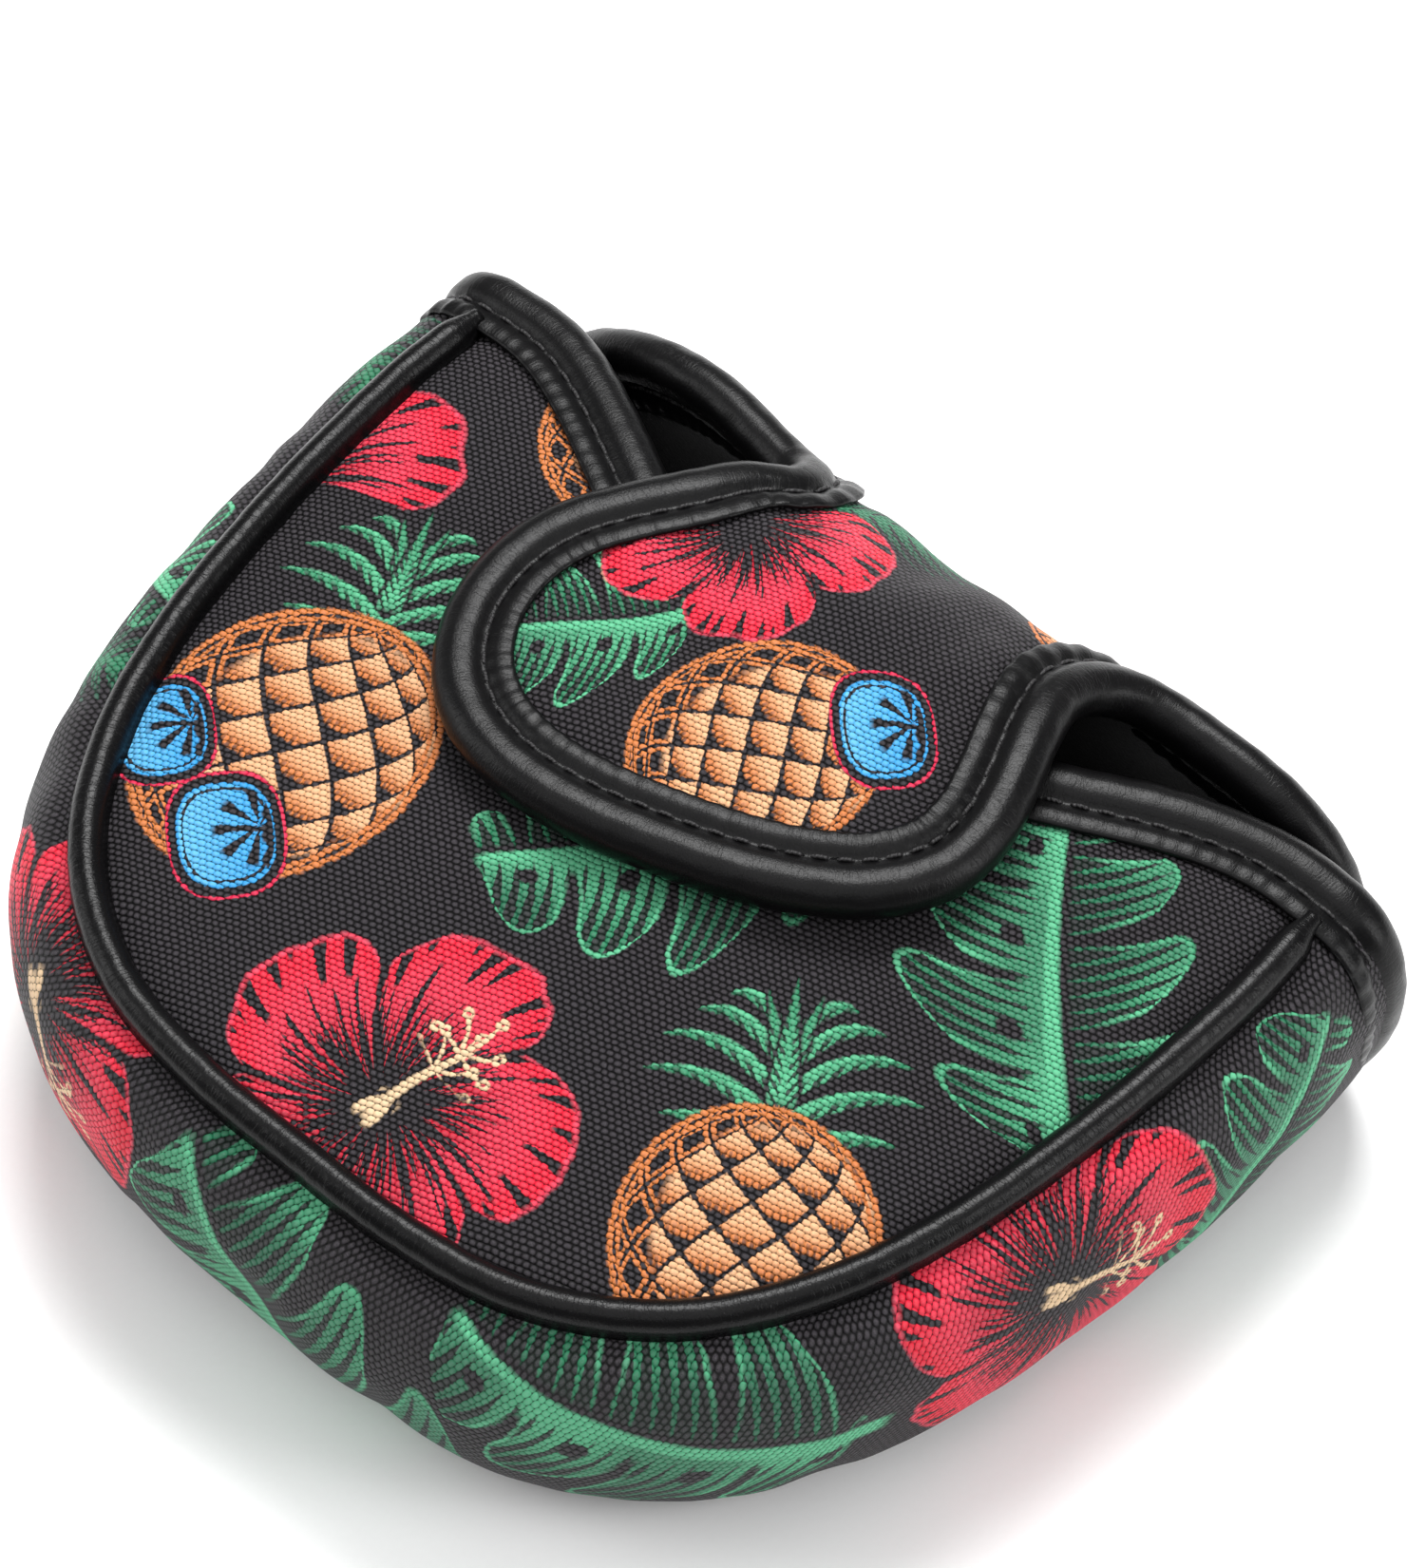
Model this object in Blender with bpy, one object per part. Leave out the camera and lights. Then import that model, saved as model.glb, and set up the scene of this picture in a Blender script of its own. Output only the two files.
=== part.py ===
"""Mallet putter head cover: padded pouch, front wall that folds down, flap that folds over the crown.

Lengths in the tables are millimetres; everything is written out in metres.
+X heel side, -X toe side, +Y mouth (face) side, -Y rounded back, +Z up. The sole rests on z = 0.
The tables count y from the front corners of the crown seam; SHIFT_Y moves the cover onto the origin.
"""
import bpy
import bmesh
import numpy as np
from mathutils import Vector

MM = 0.001
SHIFT_Y = 56.876                # puts the middle of the whole cover at y = 0

# ---- driving dimensions (mm) -------------------------------------------------
# Crown seam: radius about CENTRE every 15 degrees, from the back (0) round to the front (180).
CENTRE_Y = -50.0
SEAM_RADII = (67.6, 69.6, 73.4, 75.0, 74.0, 72.8, 73.7, 78.4, 87.4, 97.0, 104.0, 108.5, 110.0)
SEAM_ARC_DEG = 117.0          # ahead of this angle the sides run straight to the mouth
SEAM_STATIONS = 31
GUSSET_SAMPLES = 9
PIPING_END_Y = -4.4

SHELL_T = 0.9                 # printed canvas
FOAM_T = 2.0                  # padding
LINING_T = 0.9                # brushed lining
GAP = 0.4                     # clearance kept between neighbours
PANEL_T = SHELL_T + FOAM_T + LINING_T + 2 * GAP
HALF = PANEL_T / 2

CROWN_EDGE_Z = 44.4           # top of the crown along its seam
CROWN_PUFF = 5.2              # extra height in the middle of the crown
PIPING_Z = 45.0
PIPING_R = 2.4
PIPING_TAIL = 7.0             # seam allowance of the piping, below its centre

# Gusset middle line: (outward from the seam, height)
GUSSET = ((2.0, 41.9), (5.2, 40.2), (7.6, 36.8), (8.9, 32.0), (9.2, 26.0), (8.7, 19.5), (7.2, 13.2),
          (4.6, 8.0), (0.6, 3.9))

MOUTH_DIP_Y = -17.0           # crown edge in the middle of the mouth
MOUTH_CORNER_Y = 3.5          # crown edge at the two corners
MOUTH_HALF_W = 72.0
CROWN_FAN = (0.0, -55.0)      # the crown's rings fan out from here
SOLE_FAN = (0.0, -50.0)
FLAP_FAN = (0.0, -26.0)

BIND_H = 7.2                  # height of the rolled binding
BIND_FRONT = 4.3              # roll ahead of the panel's edge
BIND_FLANGE = 7.2             # stitched flange behind the panel's edge
BIND_LEATHER = 0.7

WALL_Y = 11.8                 # middle plane of the front wall
WALL_LEAN = 3.8               # how far its middle leans back at the top
WALL_BOTTOM_Z = 0.6
WALL_CENTRE_Z = 22.0
# Side and top of the wall's panel, heel half: (x, z)
WALL_SIDE = ((61.0, 3.2), (65.0, 8.5), (68.6, 15.5), (71.2, 23.0), (71.6, 30.5), (68.8, 37.0), (62.8, 41.2),
             (55.0, 42.4), (46.0, 42.5), (37.0, 42.5), (28.0, 42.5))
WALL_NECK = ((24.0, 42.6), (20.6, 43.0), (19.8, 43.6))

# Flap outline seen from above: (x, y) of the panel's edge, heel side round the tip to the toe side
FLAP_OUTLINE = ((20.3, 8.2), (21.6, 4.0), (25.6, -3.0), (30.4, -10.0), (34.8, -17.0), (37.6, -25.0),
                (37.2, -33.5), (32.6, -41.5), (25.0, -47.6), (15.5, -52.4), (5.0, -56.0), (-5.5, -58.6),
                (-15.5, -59.2), (-24.5, -57.0), (-31.8, -51.6), (-36.6, -43.5), (-38.2, -34.5),
                (-36.6, -25.5), (-32.0, -17.0), (-27.0, -9.5), (-22.4, -2.0), (-19.6, 4.0), (-18.8, 8.2))
FLAP_LIFT = 5.6               # middle of the flap above the crown's top
FLAP_FOLD_Z = 45.2
FLAP_DROP_Y = -12.0           # the flap starts to curve down to the fold ahead of this line

MAGNET_R = 6.0
MAGNET_T = 1.8
MAGNET_XY = ((-17.0, -42.0), (17.0, -42.0))

SOLE_MARGIN = (1.6, 0.2, -0.9)   # sole shell, foam, lining: edge outward from the seam line
SOLE_FRONT_Y = 7.8
SOLE_FRONT_HALF_W = 66.0

COLOURS = {
    "print_canvas": (0.035, 0.03, 0.035),
    "piping_leather": (0.02, 0.02, 0.022),
    "binding_leather": (0.018, 0.018, 0.02),
    "foam": (0.32, 0.32, 0.34),
    "lining": (0.03, 0.03, 0.035),
    "magnet": (0.62, 0.62, 0.64),
}


# ---- small numeric helpers ---------------------------------------------------
def catmull(values, t):
    """Smooth curve through evenly spaced values; t runs from 0 to len(values) - 1."""
    v = np.asarray(values, float)
    n = len(v)
    i = int(min(max(np.floor(t), 0), n - 2))
    f = t - i
    p1 = v[i]
    p2 = v[i + 1]
    p0 = v[i - 1] if i > 0 else 2 * p1 - p2
    p3 = v[i + 2] if i + 2 < n else 2 * p2 - p1
    square = 2 * p0 - 5 * p1 + 4 * p2 - p3
    cube = 3 * p1 - p0 - 3 * p2 + p3
    return 0.5 * (2 * p1 + (p2 - p0) * f + square * f * f + cube * f ** 3)


def smoothstep(t):
    t = min(max(t, 0.0), 1.0)
    return t * t * (3 - 2 * t)


def seam_radius(deg):
    d = abs(deg)
    mirrored = (SEAM_RADII[1],) + SEAM_RADII + (SEAM_RADII[-2],)
    return float(catmull(mirrored, d / 15.0 + 1.0))


def seam_point(deg):
    a = np.radians(deg)
    r = seam_radius(deg)
    return np.array([r * np.sin(a), CENTRE_Y - r * np.cos(a)])


def seam_normal(deg):
    t = seam_point(deg + 0.5) - seam_point(deg - 0.5)
    n = np.array([t[1], -t[0]])
    return n / np.linalg.norm(n)


def side_end():
    """Heel side: last point of the arc, forward direction, and its outward normal."""
    n = seam_normal(SEAM_ARC_DEG)
    return seam_point(SEAM_ARC_DEG), np.array([-n[1], n[0]]), n


def seam_stations(front_y, steps=3):
    """Points and outward normals along the seam, toe side round the back to the heel side."""
    arc = [(seam_point(d), seam_normal(d)) for d in np.linspace(-SEAM_ARC_DEG, SEAM_ARC_DEG, SEAM_STATIONS)]
    q, forward, n = side_end()
    length = (MOUTH_CORNER_Y - q[1]) / forward[1]
    reach = (front_y - q[1]) / forward[1]
    heel = []
    for k in range(1, steps + 1):
        s = reach * k / steps
        blend = s / length
        m = n * (1 - blend) + np.array([1.0, 0.0]) * blend
        heel.append((q + forward * s, m / np.linalg.norm(m)))
    toe = [(np.array([-p[0], p[1]]), np.array([-m[0], m[1]])) for p, m in heel]
    return toe[::-1] + arc + heel


def crown_top(x, y):
    deg = np.degrees(np.arctan2(x, CENTRE_Y - y))
    s = np.hypot(x, y - CENTRE_Y) / seam_radius(deg)
    return CROWN_EDGE_Z + CROWN_PUFF * max(0.0, 1 - s * s)


def mouth_edge(x):
    t = abs(x) / MOUTH_HALF_W
    return MOUTH_DIP_Y + (MOUTH_CORNER_Y - MOUTH_DIP_Y) * smoothstep((t - 0.2) / 0.78)


def wall_mid_y(x, z):
    across = 1 - smoothstep((abs(x) - 22.0) / 22.0)
    up = max(0.0, (z - 26.0) / 19.0)
    return WALL_Y - WALL_LEAN * across * up * up


def flap_mid_z(x, y):
    lie = crown_top(x, y) + FLAP_LIFT
    if y <= FLAP_DROP_Y:
        return lie
    hinge_y = wall_mid_y(x, FLAP_FOLD_Z)
    amount = crown_top(x, hinge_y) + FLAP_LIFT - FLAP_FOLD_Z
    t = min((y - FLAP_DROP_Y) / (hinge_y - FLAP_DROP_Y), 1.05)
    return lie - amount * t ** 2.2


def surface_normal(height, x, y):
    e = 0.2
    dx = (height(x + e, y) - height(x - e, y)) / (2 * e)
    dy = (height(x, y + e) - height(x, y - e)) / (2 * e)
    n = np.array([-dx, -dy, 1.0])
    return n / np.linalg.norm(n)


# ---- scene helpers -----------------------------------------------------------
def clear_scene():
    for obj in list(bpy.data.objects):
        bpy.data.objects.remove(obj, do_unlink=True)
    for block in list(bpy.data.meshes):
        bpy.data.meshes.remove(block)
    for block in list(bpy.data.materials):
        bpy.data.materials.remove(block)


def make_material(node, slot, rough, metallic=0.0):
    mat = bpy.data.materials.new(node)
    mat.use_nodes = True
    bsdf = mat.node_tree.nodes["Principled BSDF"]
    bsdf.inputs["Base Color"].default_value = (*COLOURS[slot], 1.0)
    bsdf.inputs["Roughness"].default_value = rough
    bsdf.inputs["Metallic"].default_value = metallic
    return mat


def add_object(name, verts, faces, slot, rough=0.8, metallic=0.0, smooth=True):
    mesh = bpy.data.meshes.new(name)
    points = [(float(x) * MM, float(y + SHIFT_Y) * MM, float(z) * MM) for x, y, z in verts]
    mesh.from_pydata(points, [], [tuple(f) for f in faces])
    bm = bmesh.new()
    bm.from_mesh(mesh)
    bmesh.ops.recalc_face_normals(bm, faces=bm.faces)
    if bm.calc_volume(signed=True) < 0:
        bmesh.ops.reverse_faces(bm, faces=bm.faces)
    bm.to_mesh(mesh)
    bm.free()
    obj = bpy.data.objects.new(name, mesh)
    bpy.context.scene.collection.objects.link(obj)
    mesh.materials.append(make_material(name, slot, rough, metallic))
    for poly in mesh.polygons:
        poly.use_smooth = smooth
    if smooth:
        mark_sharp(mesh, 40.0)
    return obj


def mark_sharp(mesh, degrees):
    bm = bmesh.new()
    bm.from_mesh(mesh)
    limit = np.radians(degrees)
    for edge in bm.edges:
        if len(edge.link_faces) == 2 and edge.calc_face_angle(0.0) > limit:
            edge.smooth = False
    bm.to_mesh(mesh)
    bm.free()


def loft(name, rings, slot, **kw):
    """Closed solid through equal rings of points, with flat ends."""
    count = len(rings)
    size = len(rings[0])
    verts = [p for ring in rings for p in ring]
    faces = []
    for i in range(count - 1):
        j = i + 1
        for k in range(size):
            m = (k + 1) % size
            faces.append((i * size + k, i * size + m, j * size + m, j * size + k))
    faces.append(tuple(range(size)))
    faces.append(tuple((count - 1) * size + k for k in reversed(range(size))))
    return add_object(name, verts, faces, slot, **kw)


def add_disc(name, top, bottom, size, rings, slot, **kw):
    """Closed sheet from two matching fans of rings; vertex 0 of each is the middle."""
    base = len(top)
    faces = []
    for k in range(size):
        m = (k + 1) % size
        faces.append((0, 1 + k, 1 + m))
        faces.append((base, base + 1 + m, base + 1 + k))
        for r in range(rings - 1):
            a, b = 1 + r * size + k, 1 + r * size + m
            faces.append((a, a + size, b + size, b))
            faces.append((base + b, base + b + size, base + a + size, base + a))
        a, b = 1 + (rings - 1) * size + k, 1 + (rings - 1) * size + m
        faces.append((a, base + a, base + b, b))
    return add_object(name, list(top) + list(bottom), faces, slot, **kw)


def disc_slab(name, outline, centre, height, low, high, rings, slot, **kw):
    """Solid sheet inside a star-shaped outline; height(x, y) is its middle surface."""
    size = len(outline)
    fractions = [(k / rings) ** 0.85 for k in range(1, rings + 1)]
    flat = [np.array(centre, float)]
    for f in fractions:
        for p in outline:
            flat.append(np.array(centre) + (np.array(p) - np.array(centre)) * f)
    top = []
    bottom = []
    for x, y in flat:
        z = height(x, y)
        n = surface_normal(height, x, y)
        top.append(np.array([x, y, z]) + n * high)
        bottom.append(np.array([x, y, z]) + n * low)
    return add_disc(name, top, bottom, size, rings, slot, **kw)


def cut_round_hole(obj, x, y, z, radius):
    bm = bmesh.new()
    r = radius * MM
    bmesh.ops.create_cone(bm, cap_ends=True, segments=24, radius1=r, radius2=r, depth=20 * MM)
    bmesh.ops.translate(bm, verts=bm.verts, vec=Vector((x * MM, (y + SHIFT_Y) * MM, z * MM)))
    mesh = bpy.data.meshes.new("cutter")
    bm.to_mesh(mesh)
    bm.free()
    cutter = bpy.data.objects.new("cutter", mesh)
    bpy.context.scene.collection.objects.link(cutter)
    cutter.hide_render = True
    cutter.display_type = "WIRE"
    mod = obj.modifiers.new("hole", "BOOLEAN")
    mod.operation = "DIFFERENCE"
    mod.solver = "EXACT"
    mod.object = cutter
    bpy.context.view_layer.objects.active = obj
    obj.select_set(True)
    bpy.ops.object.modifier_apply(modifier="hole")
    obj.select_set(False)
    bpy.data.objects.remove(cutter, do_unlink=True)


def binding_section():
    """C shape: (outward in the panel's plane, along the panel's normal)."""
    h = BIND_H / 2
    inner = h - BIND_LEATHER
    points = [(-BIND_FLANGE, inner), (-BIND_FLANGE, h)]
    centre = BIND_FRONT - h
    for k in range(8):
        a = np.pi / 2 - np.pi * k / 7
        points.append((centre + h * np.cos(a), h * np.sin(a)))
    points += [(-BIND_FLANGE, -h), (-BIND_FLANGE, -inner), (GAP, -inner), (GAP, inner)]
    return points


def binding(name, path, outward, normal, **kw):
    section = binding_section()
    rings = []
    for p, o, n in zip(path, outward, normal):
        p, o, n = np.array(p, float), np.array(o, float), np.array(n, float)
        o = o / np.linalg.norm(o)
        t = np.cross(o, n)
        t = t / np.linalg.norm(t)
        n = np.cross(t, o)
        rings.append([p + o * u + n * v for u, v in section])
    return loft(name, rings, "binding_leather", rough=0.45, **kw)


def gusset_frame(t):
    """Point and outward normal of the gusset's middle line at t in [0, 1]."""
    last = len(GUSSET) - 1
    e = 0.01
    p = catmull(GUSSET, t * last)
    d = catmull(GUSSET, min(t + e, 1) * last) - catmull(GUSSET, max(t - e, 0) * last)
    n = np.array([-d[1], d[0]])
    return p, n / np.linalg.norm(n)


# ---- the pouch ---------------------------------------------------------------
def crown_outline(inset):
    """Crown panel seen from above: seam line moved inward, scooped mouth edge at the front."""
    pts = []
    for q, n in seam_stations(MOUTH_CORNER_Y - 2.0):
        pts.append(q - n * inset)
    half = abs(pts[-1][0])
    for x in np.linspace(half - 1.0, -half + 1.0, 19):
        pts.append(np.array([x, mouth_edge(x)]))
    keep = [pts[0]]
    for p in pts[1:]:
        if np.linalg.norm(p - keep[-1]) > 1.2:
            keep.append(p)
    return keep


def crown_mid(x, y):
    return crown_top(x, y) - HALF


LAYERS = (
    ("shell", HALF - SHELL_T, HALF, "print_canvas", 0.9),
    ("foam", -FOAM_T / 2, FOAM_T / 2, "foam", 0.95),
    ("lining", -HALF, -HALF + LINING_T, "lining", 0.9),
)


def build_crown():
    inset = {"shell": PIPING_R + 0.45, "foam": 2.4, "lining": 1.1}
    for kind, low, high, slot, rough in LAYERS:
        outline = crown_outline(inset[kind])
        obj = disc_slab("crown_" + kind, outline, CROWN_FAN, crown_mid, low, high, 3, slot, rough=rough)
        if kind == "foam":
            for x, y in MAGNET_XY:
                cut_round_hole(obj, x, y, crown_mid(x, y), MAGNET_R + GAP)


def build_gusset():
    for kind, low, high, slot, rough in LAYERS:
        section = []
        ts = np.linspace(0.0, 1.0, GUSSET_SAMPLES)
        for t in ts:
            p, n = gusset_frame(t)
            section.append(p + n * high)
        for t in ts[::-1]:
            p, n = gusset_frame(t)
            section.append(p + n * low)
        rings = []
        for q, n in seam_stations(MOUTH_CORNER_Y):
            rings.append([(q[0] + n[0] * b, q[1] + n[1] * b, z) for b, z in section])
        loft("gusset_" + kind, rings, slot, rough=rough)


def constant_height(z):
    return lambda x, y: z


def build_sole():
    levels = ((0.0, SHELL_T), (SHELL_T + GAP, SHELL_T + GAP + FOAM_T), (PANEL_T - LINING_T, PANEL_T))
    for (kind, _, _, slot, rough), (low, high), margin in zip(LAYERS, levels, SOLE_MARGIN):
        pts = [q + n * margin for q, n in seam_stations(0.5, 2)]
        half = abs(pts[-1][0])
        corner = ((half - 1.2, 3.6), (half - 4.0, 6.4), (SOLE_FRONT_HALF_W, SOLE_FRONT_Y))
        straight = SOLE_FRONT_HALF_W - 10.0
        pts += [np.array(p) for p in corner]
        pts += [np.array([x, SOLE_FRONT_Y]) for x in np.linspace(straight, -straight, 7)]
        pts += [np.array([-p[0], p[1]]) for p in corner[::-1]]
        mid = (low + high) / 2
        half_t = (high - low) / 2
        flat = constant_height(mid)
        disc_slab("sole_" + kind, pts, SOLE_FAN, flat, -half_t, half_t, 2, slot, rough=rough)


def build_piping():
    section = []
    tail = 0.5
    start = np.arcsin(tail / PIPING_R)
    for k in range(13):
        a = -np.pi / 2 + start + (2 * np.pi - 2 * start) * k / 12
        section.append((PIPING_R * np.cos(a), PIPING_Z + PIPING_R * np.sin(a)))
    section += [(-tail, PIPING_Z - PIPING_TAIL), (tail, PIPING_Z - PIPING_TAIL)]
    rings = []
    for q, n in seam_stations(PIPING_END_Y, 2):
        rings.append([(q[0] + n[0] * b, q[1] + n[1] * b, z) for b, z in section])
    loft("crown_piping", rings, "piping_leather", rough=0.35)


def mouth_path():
    """Edge of the mouth: up the heel end of the gusset, along the crown, down the toe end."""
    path = []
    outward = []
    normal = []
    stations = seam_stations(MOUTH_CORNER_Y)
    end, side = stations[-1]
    before, side_before = stations[-2]
    ts = np.linspace(0.0, 1.0, GUSSET_SAMPLES)[:-1]
    for t in [0.985] + list(ts[::-1]):
        p, n = gusset_frame(t)
        path.append((end[0] + side[0] * p[0], end[1] + side[1] * p[0], p[1]))
        normal.append((n[0], 0.0, n[1]))
        run = end + side * p[0] - before - side_before * p[0]
        outward.append((run[0], run[1], 0.0))
    half = []
    for x in np.linspace(70.5, 0.0, 15):
        y = mouth_edge(x)
        e = 0.5
        slope = (mouth_edge(x + e) - mouth_edge(x - e)) / (2 * e)
        half.append(((x, y, crown_mid(x, y)), (-slope, 1.0, 0.0), surface_normal(crown_mid, x, y)))
    first = len(path)
    for p, o, n in half:
        path.append(p)
        outward.append(o)
        normal.append(tuple(n))
    # soften the turn over the corner
    normal[first] = tuple(np.mean([normal[first - 1], normal[first], normal[first + 1]], axis=0))
    for side_list in (path, outward, normal):
        side_list += [(-v[0], v[1], v[2]) for v in side_list[:-1][::-1]]
    return path, outward, normal


def build_magnet(name, x, y, height):
    z = height(x, y)
    n = surface_normal(height, x, y)
    t = np.cross(n, (0.0, 1.0, 0.0))
    t = t / np.linalg.norm(t)
    s = np.cross(n, t)
    centre = np.array([x, y, z])
    rings = []
    for level in (-MAGNET_T / 2, MAGNET_T / 2):
        ring = []
        for k in range(24):
            a = 2 * np.pi * k / 24
            ring.append(centre + n * level + (t * np.cos(a) + s * np.sin(a)) * (MAGNET_R - 0.1))
        rings.append(ring)
    loft(name, rings, "magnet", rough=0.3, metallic=1.0)


# ---- the front wall ----------------------------------------------------------
def wall_normal(x, z):
    e = 0.2
    dx = (wall_mid_y(x + e, z) - wall_mid_y(x - e, z)) / (2 * e)
    dz = (wall_mid_y(x, z + e) - wall_mid_y(x, z - e)) / (2 * e)
    n = np.array([-dx, 1.0, -dz])
    return n / np.linalg.norm(n)


def wall_side_path():
    last = len(WALL_SIDE) - 1
    return [catmull(WALL_SIDE, t) for t in np.linspace(0, last, 19)]


def build_wall():
    side = wall_side_path() + [np.array(p) for p in WALL_NECK]
    top = [np.array([x, WALL_NECK[-1][1]]) for x in (12.0, 4.0)]
    half = [np.array([x, WALL_BOTTOM_Z]) for x in (8.0, 24.0, 40.0, 52.0, 58.0)] + side + top
    outline = half + [np.array([-p[0], p[1]]) for p in half[::-1]]
    size = len(outline)
    rings = 4
    centre = np.array([0.0, WALL_CENTRE_Z])
    flat = [centre]
    for k in range(1, rings + 1):
        flat += [centre + (p - centre) * k / rings for p in outline]
    for kind, low, high, slot, rough in LAYERS:
        outer = []
        inner = []
        for x, z in flat:
            p = np.array([x, wall_mid_y(x, z), z])
            n = wall_normal(x, z)
            outer.append(p + n * high)
            inner.append(p + n * low)
        add_disc("front_wall_" + kind, outer, inner, size, rings, slot, rough=rough)


def build_wall_binding(name, sign):
    edge = wall_side_path()[1:]
    path, outward, normal = [], [], []
    for i, p in enumerate(edge):
        d = edge[min(i + 1, len(edge) - 1)] - edge[max(i - 1, 0)]
        d = d / np.linalg.norm(d)
        n = wall_normal(p[0], p[1])
        path.append((p[0] * sign, wall_mid_y(p[0], p[1]), p[1]))
        o = np.array([d[1], 0.0, -d[0]])
        o = o - n * np.dot(n, o)
        outward.append((o[0] * sign, o[1], o[2]))
        normal.append((n[0] * sign, n[1], n[2]))
    binding(name, path, outward, normal)


# ---- the flap ----------------------------------------------------------------
def flap_outline():
    last = len(FLAP_OUTLINE) - 1
    return [catmull(FLAP_OUTLINE, t) for t in np.linspace(0, last, 45)]


def build_flap():
    outline = flap_outline()
    a, b = outline[-1], outline[0]
    closed = outline + [a + (b - a) * k / 6 for k in range(1, 6)]
    for kind, low, high, slot, rough in LAYERS:
        obj = disc_slab("flap_" + kind, closed, FLAP_FAN, flap_mid_z, low, high, 6, slot, rough=rough)
        if kind == "foam":
            for x, y in MAGNET_XY:
                cut_round_hole(obj, x, y, flap_mid_z(x, y), MAGNET_R + GAP)
    path, outward, normal = [], [], []
    for i, p in enumerate(outline):
        q = outline[max(i - 1, 0)]
        r = outline[min(i + 1, len(outline) - 1)]
        a3 = np.array([q[0], q[1], flap_mid_z(q[0], q[1])])
        b3 = np.array([r[0], r[1], flap_mid_z(r[0], r[1])])
        t = (b3 - a3) / np.linalg.norm(b3 - a3)
        n = surface_normal(flap_mid_z, p[0], p[1])
        path.append((p[0], p[1], flap_mid_z(p[0], p[1])))
        outward.append(np.cross(n, t))
        normal.append(n)
    if np.dot(outward[20][:2], outline[20] - np.array(FLAP_FAN)) < 0:
        outward = [-o for o in outward]
    binding("flap_binding", path, outward, normal)


clear_scene()
build_crown()
build_gusset()
build_sole()
build_piping()
binding("mouth_binding", *mouth_path())
build_magnet("crown_magnet_toe", *MAGNET_XY[0], crown_mid)
build_magnet("crown_magnet_heel", *MAGNET_XY[1], crown_mid)
build_wall()
build_wall_binding("wall_binding_heel", 1)
build_wall_binding("wall_binding_toe", -1)
build_flap()
build_magnet("flap_magnet_toe", *MAGNET_XY[0], flap_mid_z)
build_magnet("flap_magnet_heel", *MAGNET_XY[1], flap_mid_z)
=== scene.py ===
"""Mallet putter head cover: printed canvas panels, rolled leather binding, piping, stitching and lining."""
import bpy
import math
from functools import partialmethod
import numpy as np
from mathutils import Matrix, Vector
from mathutils.geometry import delaunay_2d_cdt


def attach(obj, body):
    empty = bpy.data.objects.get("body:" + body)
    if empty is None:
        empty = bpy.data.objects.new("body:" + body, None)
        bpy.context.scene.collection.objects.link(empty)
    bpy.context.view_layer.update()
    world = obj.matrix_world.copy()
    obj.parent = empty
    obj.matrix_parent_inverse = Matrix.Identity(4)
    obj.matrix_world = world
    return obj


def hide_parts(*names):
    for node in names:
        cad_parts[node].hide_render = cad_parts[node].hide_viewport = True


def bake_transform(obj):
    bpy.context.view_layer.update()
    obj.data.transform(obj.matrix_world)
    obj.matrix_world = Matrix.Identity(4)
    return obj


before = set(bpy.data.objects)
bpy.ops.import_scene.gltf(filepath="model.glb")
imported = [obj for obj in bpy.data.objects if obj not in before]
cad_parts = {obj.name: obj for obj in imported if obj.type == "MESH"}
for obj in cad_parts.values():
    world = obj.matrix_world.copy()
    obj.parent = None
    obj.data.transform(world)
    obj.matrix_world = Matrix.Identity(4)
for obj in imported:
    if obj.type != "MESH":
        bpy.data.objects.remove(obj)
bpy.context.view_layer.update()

# ---- sizes (mm)
SHIFT_Y = 56.876
CENTRE_Y = -50.0
SEAM_RADII = (67.6, 69.6, 73.4, 75.0, 74.0, 72.8, 73.7, 78.4, 87.4, 97.0, 104.0, 108.5, 110.0)
SEAM_ARC_DEG = 117.0
PANEL_T = 4.6
HALF = PANEL_T / 2
CROWN_EDGE_Z = 44.4
CROWN_PUFF = 5.2
PIPING_Z = 45.0
PIPING_R = 2.45
PIPING_END_Y = -1.6
FLOOR_HALF_W = 2500.0
GUSSET = ((2.0, 41.9), (4.9, 40.2), (7.1, 36.8), (8.3, 32.0), (8.4, 26.0), (7.7, 19.5), (6.0, 13.2),
          (3.4, 8.0), (-0.2, 3.9))
MOUTH_DIP_Y = -17.0
MOUTH_CORNER_Y = 3.5
MOUTH_HALF_W = 72.0
WALL_Y = 11.8
WALL_LEAN = 3.8
WALL_HEEL = ((61.0, 3.2), (65.0, 8.5), (68.4, 15.5), (70.4, 22.6), (69.8, 29.4), (66.4, 35.6), (60.4, 39.8),
             (53.6, 41.8), (47.4, 42.4))
WALL_TOE = ((61.0, 3.2), (64.8, 8.5), (67.6, 15.2), (68.6, 22.0), (66.8, 28.6), (62.0, 34.2), (55.2, 38.6),
            (47.4, 41.4), (39.4, 42.4), (31.0, 42.5))
FLAP_OUTLINE = ((30.2, -3.0), (32.4, -10.0), (35.2, -17.0), (37.6, -25.0), (37.2, -33.5), (32.6, -41.5),
                (25.0, -47.6), (15.5, -52.4), (5.0, -56.0), (-5.5, -58.6), (-15.5, -59.2), (-24.5, -57.0),
                (-31.8, -51.6), (-36.6, -43.5), (-38.2, -34.5), (-36.6, -25.5), (-32.0, -17.0), (-27.0, -9.5),
                (-23.4, -3.0))
HEEL_NOTCH = ((41.4, 0.5), (36.6, 1.9), (33.0, 4.6), (30.9, 8.2), (30.0, 12.0))
TOE_NOTCH = ((-19.9, 11.6), (-19.5, 8.0), (-20.4, 4.6), (-22.6, 1.9), (-25.8, 0.35))
FLAP_LIFT = 5.6
FLAP_FOLD_Z = 45.2
FLAP_DROP_Y = -12.0
FOLD_START_Z = 42.5           # w = 0 on the face cloth
SOLE_FLAT_Y = 7.0             # how far forward the sole lies flat
SOLE_BEND_R = 4.8             # and how it bends up to the wall
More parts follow.
